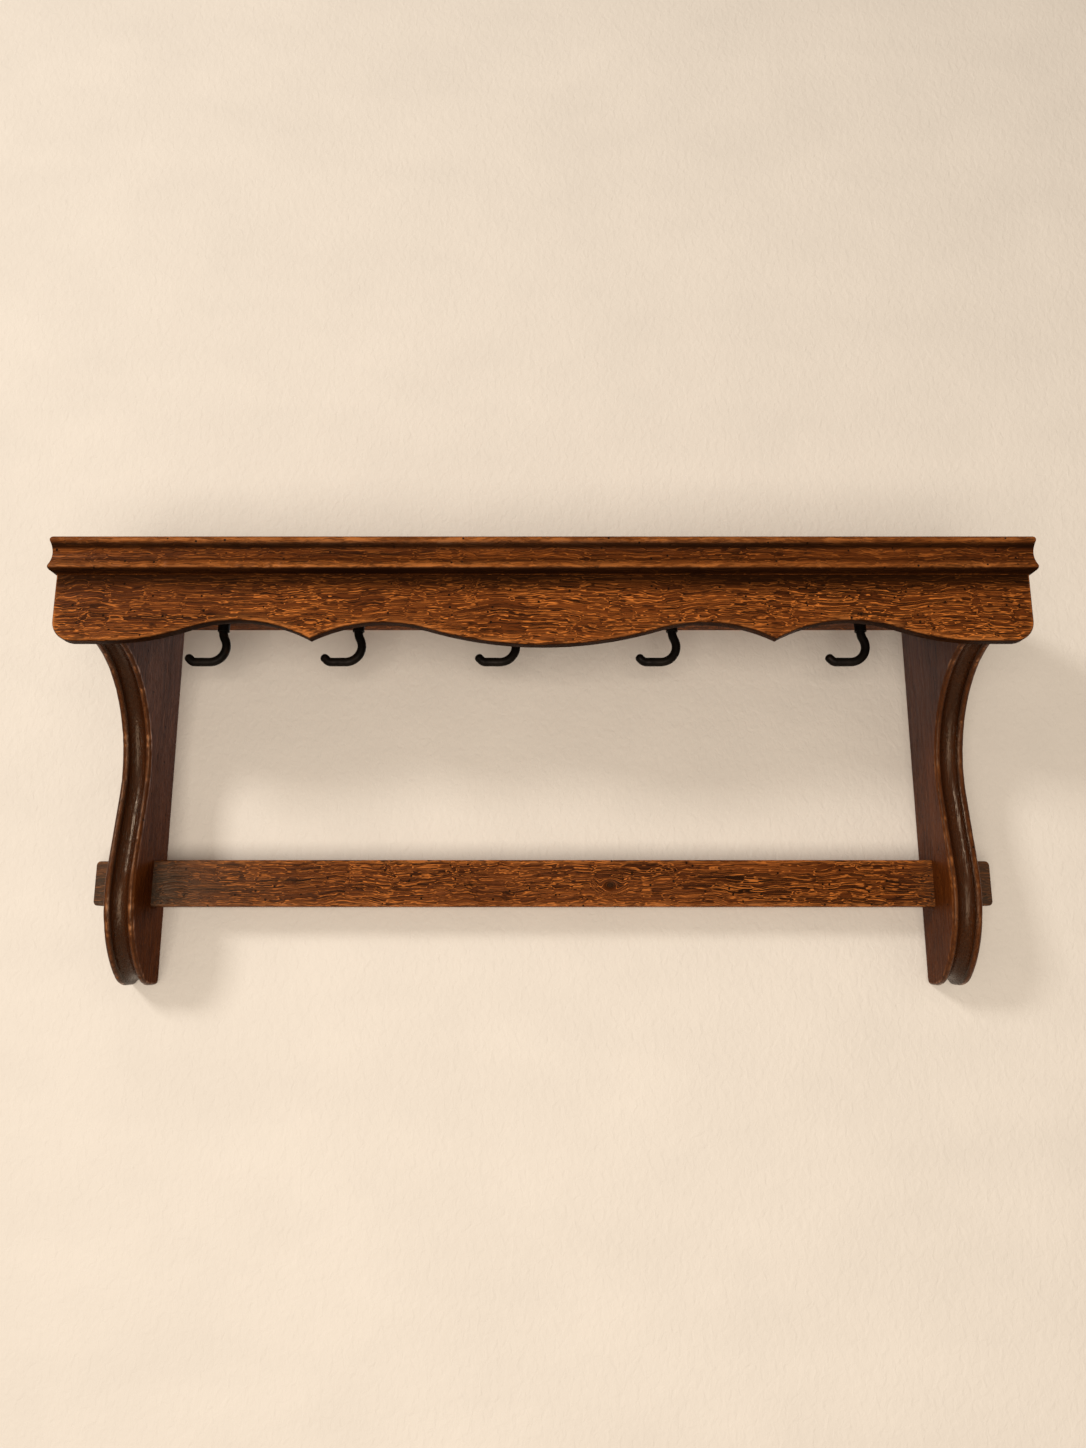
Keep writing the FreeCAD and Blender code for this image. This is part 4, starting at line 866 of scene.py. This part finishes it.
def bracket_grid(side, seed):
    """Rows along the S from top to heel; columns over inner face, moulding, outer face and wall.

    A moulded point is the outline's point + depth times the inward normal, kept above the heel's circle.
    A side face runs straight from each such point to the wall, which is shared out evenly between the
    top and the heel.
    """
    top, reach, heel, sides = foot, apron_back, 7.0, 15
    outline = np.vstack([(reach, top), s_line])
    inward = inward_normals(s_line[::-1])[::-1]
    inward = np.vstack([inward[0], inward])
    travelled = np.concatenate([[0], np.cumsum(np.linalg.norm(np.diff(outline, axis=0), axis=1))])
    middle = travelled[-1] / 2
    wobble = nicks(travelled - middle, seed, count=16, reach=middle, deepest=0.7)
    wobble = wobble + 0.3 * unevenness(travelled, seed)
    depth = (edge_depth + edge_wear * wobble[:, None]) * (np.arange(len(outline)) > 0)[:, None]
    moulded = outline[:, None] + depth[..., None] * inward[:, None]
    gap = np.maximum(heel - np.maximum(moulded[..., 0], 0), 0)
    moulded[..., 1] = np.maximum(moulded[..., 1], s_line[-1, 1] + heel - np.sqrt(heel**2 - gap**2))
    wall = np.zeros_like(moulded)
    wall[..., 1] = top + (moulded[-1, :, 1] - top) * (travelled / travelled[-1])[:, None]
    share = np.linspace(0, 1, sides + 1)[:-1] ** 0.6
    near = wall[:, :1] + share[None, :, None] * (moulded - wall)[:, :1]
    far = wall[:, -1:] + share[None, ::-1, None] * (moulded - wall)[:, -1:]
    flat = np.concatenate([near, moulded, far, wall[:, -2:0:-1]], axis=1)
    outer_side = np.full(sides, edge_across[-1])
    thick = np.concatenate([np.zeros(sides), edge_across, outer_side, edge_across[-2:0:-1]])
    grid = np.empty((*flat.shape[:2], 3))
    grid[..., 0] = side * (inner_face + thick)
    grid[..., 1] = -np.clip(flat[..., 0], 0, reach)
    grid[..., 2] = flat[..., 1]
    fresh = np.clip((wobble - 0.1) / 0.4, 0.25, 1)[:, None]
    faces = np.zeros((len(outline), sides))
    back = np.zeros((len(outline), len(edge_across) - 2))
    wear = np.concatenate([faces, edge_wear**2 * fresh, faces, back], axis=1)
    dirt_and_shade = np.concatenate([faces, np.broadcast_to(edge_darkening, moulded.shape[:2]), faces, back], axis=1)
    return grid, wear, dirt_and_shade


left_bracket = lay_surface("left_s_bracket", *bracket_grid(-1, 51))
right_bracket = lay_surface("right_s_bracket", *bracket_grid(1, 61))
print("brackets laid, not yet cut for the rail")

# %% [markdown]
# The rail's tenons pass right through the brackets, and a steel keyhole plate is let into each back edge.
# These openings are plain boxes, so a Boolean modifier cuts them; its result is kept as the mesh, and the
# boxes are removed again. The cut leaves the fine dark line round a tenon that a painted one never has.


# %% Mortises and plate recesses
def cut_boxes(piece, boxes):
    """Takes boxes, given by lowest and highest corner in millimetres, out of a piece."""
    cutters = []
    for low, high in boxes:
        corners = np.array(np.meshgrid(*zip(low, high), indexing="ij")).reshape(3, -1).T / 1000
        mesh = bpy.data.meshes.new("cutter")
        faces = [(0, 1, 3, 2), (4, 6, 7, 5), (0, 4, 5, 1), (2, 3, 7, 6), (0, 2, 6, 4), (1, 5, 7, 3)]
        mesh.from_pydata(corners.tolist(), [], faces)
        cutters.append(bpy.data.objects.new("cutter", mesh))
        bpy.context.collection.objects.link(cutters[-1])
        modifier = piece.modifiers.new("cut", "BOOLEAN")
        modifier.operation, modifier.solver, modifier.object = "DIFFERENCE", "EXACT", cutters[-1]
    solid = piece.evaluated_get(bpy.context.evaluated_depsgraph_get())
    piece.data = bpy.data.meshes.new_from_object(solid)
    piece.modifiers.clear()
    for cutter in cutters:
        bpy.data.objects.remove(cutter)


rail_y, rail_z = -25.0, -223.5
mortise = ((-20, rail_y - 7.6, rail_z - 22.1), (20, rail_y + 7.6, rail_z + 22.1))
plate_bed = ((-8.1, -2.1, -19.1), (8.1, 5, 31.1))
screw_hollow = ((-5.5, -12, -8), (5.5, 5, 20))
for piece, node, side, oak in (
    (left_bracket, "left_bracket", -1, oak_left), (right_bracket, "right_bracket", 1, oak_right_lit)
):
    middle = np.array((side * (inner_face + edge_across[-1] / 2), 0, 0))
    cut_boxes(piece, [(middle + low, middle + high) for low, high in (mortise, plate_bed, screw_hollow)])
    fit(piece, node, oak)

# %% [markdown]
# The rail hangs between the brackets, low down and close to the wall. Its body is a rectangle with eased
# edges; at each bracket it steps down to a tenon, and the tenon shows on the far side with rounded
# corners. All that is one section whose half-sizes change along the rail, so a step is just two stations
# at the same place.


# %% Rail
def rail_grid():
    """Eased rectangle along x: body, shoulder, tenon and round end.

    At the end the half height falls along a quarter circle. The ends of the body are darkened towards the
    brackets along an e-curve: on the right briefly by hands and dust, on the left more strongly and over
    a longer way, partly dust and partly painted shade beside the left bracket. The tenons are dark all
    over.
    """
    shoulder, tip, corner = inner_face, 447.0, 4.0
    body_half, tenon_half, body_round, tenon_round = (10.0, 23.0), (7.5, 22.0), 1.2, 0.5
    body = np.linspace(0, shoulder, 170)
    tenon = np.linspace(shoulder, tip - corner, 16)
    end = tip - corner + corner * np.sin(np.radians(np.linspace(0, 90, 8)))[1:]
    along = np.concatenate([body, tenon, end])
    is_body = np.arange(len(along)) < len(body)
    rounding = corner - np.sqrt(np.maximum(corner**2 - np.maximum(along - (tip - corner), 0) ** 2, 0))
    half = np.where(is_body[:, None], body_half, tenon_half)
    half[:, 1] -= rounding
    radius = np.where(is_body, body_round, tenon_round)
    along = np.concatenate([-along[::-1], along[1:]])
    half, radius = np.concatenate([half[::-1], half[1:]]), np.concatenate([radius[::-1], radius[1:]])
    radius = radius + 0.7 * unevenness(along, 71, 25, 160) * (radius > 1)
    signs, rounds = eased_rectangle(per_corner=6, per_side=12)
    section = signs[None] * half[:, None] + rounds[None] * radius[:, None, None]
    grid = np.empty((*section.shape[:2], 3))
    grid[..., 0] = along[:, None]
    grid[..., 1:] = section + (rail_y, rail_z)
    corner_share = (rounds**2).sum(axis=-1)
    wear = 0.75 * np.where(np.abs(signs).sum(axis=-1) > 1.99, 1.0, 0.0) * np.clip(corner_share * 6, 0, 1)
    past = np.abs(along) - shoulder
    # Painted shade: the left end gets a darker, longer fade than the right, besides the dust at both
    # ends.
    most, fade = np.where(along < 0, 0.90, 0.35), np.where(along < 0, 60.0, 18.0)
    dirt_and_shade = np.where(past > 0, 0.68, most * np.exp(np.minimum(past, 0) / fade))[:, None]
    return grid, np.broadcast_to(wear, grid.shape[:2]), np.broadcast_to(dirt_and_shade, grid.shape[:2])


rail = lay_surface("tenoned_rail", *rail_grid())
fit(rail, "hanging_rail", oak_rail)

# %% [markdown]
# Each hook is forged from one round rod. It comes straight down out of its rosette, swings out to the
# right, turns back under in a bowl and ends in a short tip. The path is drawn flat from two lines and
# three arcs, and a circle is carried along it. On top sits the head that the smith riveted over, which
# holds the hook in the rosette while it turns.


# %% Hooks
def hook_path():
    """Points (x, z) from the rosette's mouth and the rod's radius at each.

    In order these are the head, the stem, the bend, the bowl, the floor, the tip and its rounded end.
    """
    rod, ledge, head_radius, head_height, chamfer = 4.5, 18.2, 7.0, 4.5, 0.6
    swing, bend, bowl, floor, tip_bend, tip_length = 28.0, 17.0, 16.0, 14.0, 6.5, 3.0
    bend_arc = arc((bend, 0), bend, 180, 180 + swing, 14)
    side = np.array((math.cos(math.radians(swing)), math.sin(math.radians(swing))))
    bowl_middle = bend_arc[-1] - bowl * side
    bowl_arc = arc(bowl_middle, bowl, swing, -90, 40)
    tip_arc = arc(bowl_arc[-1] + (-floor, tip_bend), tip_bend, -90, -135, 12)
    away = np.array((-1, 1)) / math.sqrt(2)
    end = line(tip_arc[-1], tip_arc[-1] + tip_length * away, 5)
    swell, rounded = np.radians(np.linspace(0, 90, 9))[1:], 0.88 * rod
    cap = end[-1] + rounded * np.sin(swell)[:, None] * away
    top = ledge + head_height
    path = np.concatenate([
        [(0, top), (0, top), (0, top - chamfer), (0, ledge), (0, ledge)],
        line((0, ledge - 0.4), (0, 0), 12)[:-1],
        bend_arc[:-1],
        bowl_arc[:-1],
        line(bowl_arc[-1], tip_arc[0], 10)[:-1],
        tip_arc[:-1],
        end,
        cap,
        cap[-1:],
    ])
    radius = np.full(len(path), rod)
    radius[:5] = (0, head_radius - chamfer, head_radius, head_radius, rod)
    radius[-9:-1] = rod - rounded + rounded * np.cos(swell)
    radius[-1] = 0
    return path, radius


def hook_grid(place, seed):
    """Circles across the path: centre + radius times (cosine along the flat normal, sine along depth)."""
    path, radius = hook_path()
    straight, capped = 16, 9
    heading = np.gradient(path, axis=0)
    heading[:straight] = (0, -1)
    heading[-capped:] = (-1, 1)
    heading = heading / np.linalg.norm(heading, axis=1)[:, None]
    normal = np.stack([-heading[:, 1], heading[:, 0]], axis=-1)
    travelled = np.concatenate([[0], np.cumsum(np.linalg.norm(np.diff(path, axis=0), axis=1))])
    below_mouth = np.arange(len(path)) > straight + 1
    forged = np.where(below_mouth, 0.22 * unevenness(travelled, seed, 9, 40), 0)
    radius = np.maximum(radius - np.minimum(forged, radius * 0.2), 0)
    turn = np.linspace(0, 2 * np.pi, 28, endpoint=False)
    flat = path[:, None] + (radius[:, None] * np.cos(turn))[..., None] * normal[:, None]
    grid = np.stack([flat[..., 0], radius[:, None] * np.sin(turn), flat[..., 1]], axis=-1)
    rubbed_at, rubbed_reach = travelled[-1] - 24, 14
    worn = np.exp(-((travelled - rubbed_at) / rubbed_reach) ** 2)[:, None] * np.ones(len(turn))
    return grid + np.array(place), worn


hook_x = (-322.092, -185.942, -31.12, 129.926, 320.147)
hook_y, mouth_z = -74.992, 25.0
for number, x in enumerate(hook_x, 1):
    hook = lay_surface(f"forged_hook_{number}", *hook_grid((x, hook_y, mouth_z), 80 + number))
    fit(hook, f"hook_{number}", black_iron, f"hook_{number}")

# %% [markdown]
# Every hook hangs in a rosette: a flange screwed up under the board, and a trumpet that narrows to the
# neck of the hook. It was turned or cast round, so it is a profile carried round an axis. The hollow
# inside is there too, with the ledge that the hook's head rests on.


# %% Rosettes
def rosette_profile():
    """Outline as (radius, height): mouth, hollow trumpet, flange, chamber, ledge and bore."""
    mouth, shoulder, flare = np.array((5.98, 0.0)), np.array((11.3, 22.0)), 34.0
    bore, ledge, chamber, rim, top, edge = 4.58, 18.0, 7.7, 18.7, 25.0, 0.8
    chord = shoulder - mouth
    half = np.linalg.norm(chord) / 2
    across = np.array((chord[1], -chord[0])) / (2 * half)
    centre = (mouth + shoulder) / 2 + math.sqrt(flare**2 - half**2) * across
    bearing = [math.degrees(math.atan2(*(place - centre)[::-1])) % 360 for place in (mouth, shoulder)]
    return np.concatenate([
        line((bore, 0), mouth - (0.3, 0), 3),
        arc(centre, flare, bearing[0] - 0.5, bearing[1], 22),
        line((shoulder[0] + 0.6, shoulder[1]), (rim - edge, shoulder[1]), 6),
        arc((rim - edge, shoulder[1] + edge), edge, -90, 0, 6)[1:],
        line((rim, top - 1), (rim, top), 2),
        line((17, top), (chamber, top), 4),
        line((chamber, top - 1), (chamber, ledge), 4),
        line((7, ledge), (bore, ledge), 3),
        line((bore, ledge - 2), (bore, 1), 6),
    ])


profile = rosette_profile()
turn = np.linspace(0, 2 * np.pi, 64, endpoint=False)[:, None]
rim_wear = 0.5 * np.clip((profile[:, 0] - 16) / 3, 0, 1) * (profile[:, 1] < 24.5)
for number, x in enumerate(hook_x, 1):
    ring = np.empty((len(turn), len(profile), 3))
    ring[..., 0] = x + profile[:, 0] * np.cos(turn)
    ring[..., 1] = hook_y + profile[:, 0] * np.sin(turn)
    ring[..., 2] = mouth_z + profile[:, 1]
    rosette = lay_surface(f"turned_rosette_{number}", ring, rim_wear, ring=True)
    fit(rosette, f"rosette_{number}", black_iron)

# %% [markdown]
# The small parts keep their CAD meshes: the blocks glued behind the apron, the dowels, the keyhole plates
# and all the screws. They are already as exact as they need to be, so they only get their finishes.

# %% Small parts
kept = {
    "glue_blocks": plain_beech, "bracket_dowels": plain_beech, "left_keyhole_plate": plain_steel,
    "right_keyhole_plate": plain_steel, "keyhole_plate_screws": plain_steel, "rosette_screws": black_iron,
}
for name, finish in kept.items():
    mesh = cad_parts[name].data
    mesh.materials.clear()
    mesh.materials.append(finish)
print("kept from the CAD model:", ", ".join(kept))
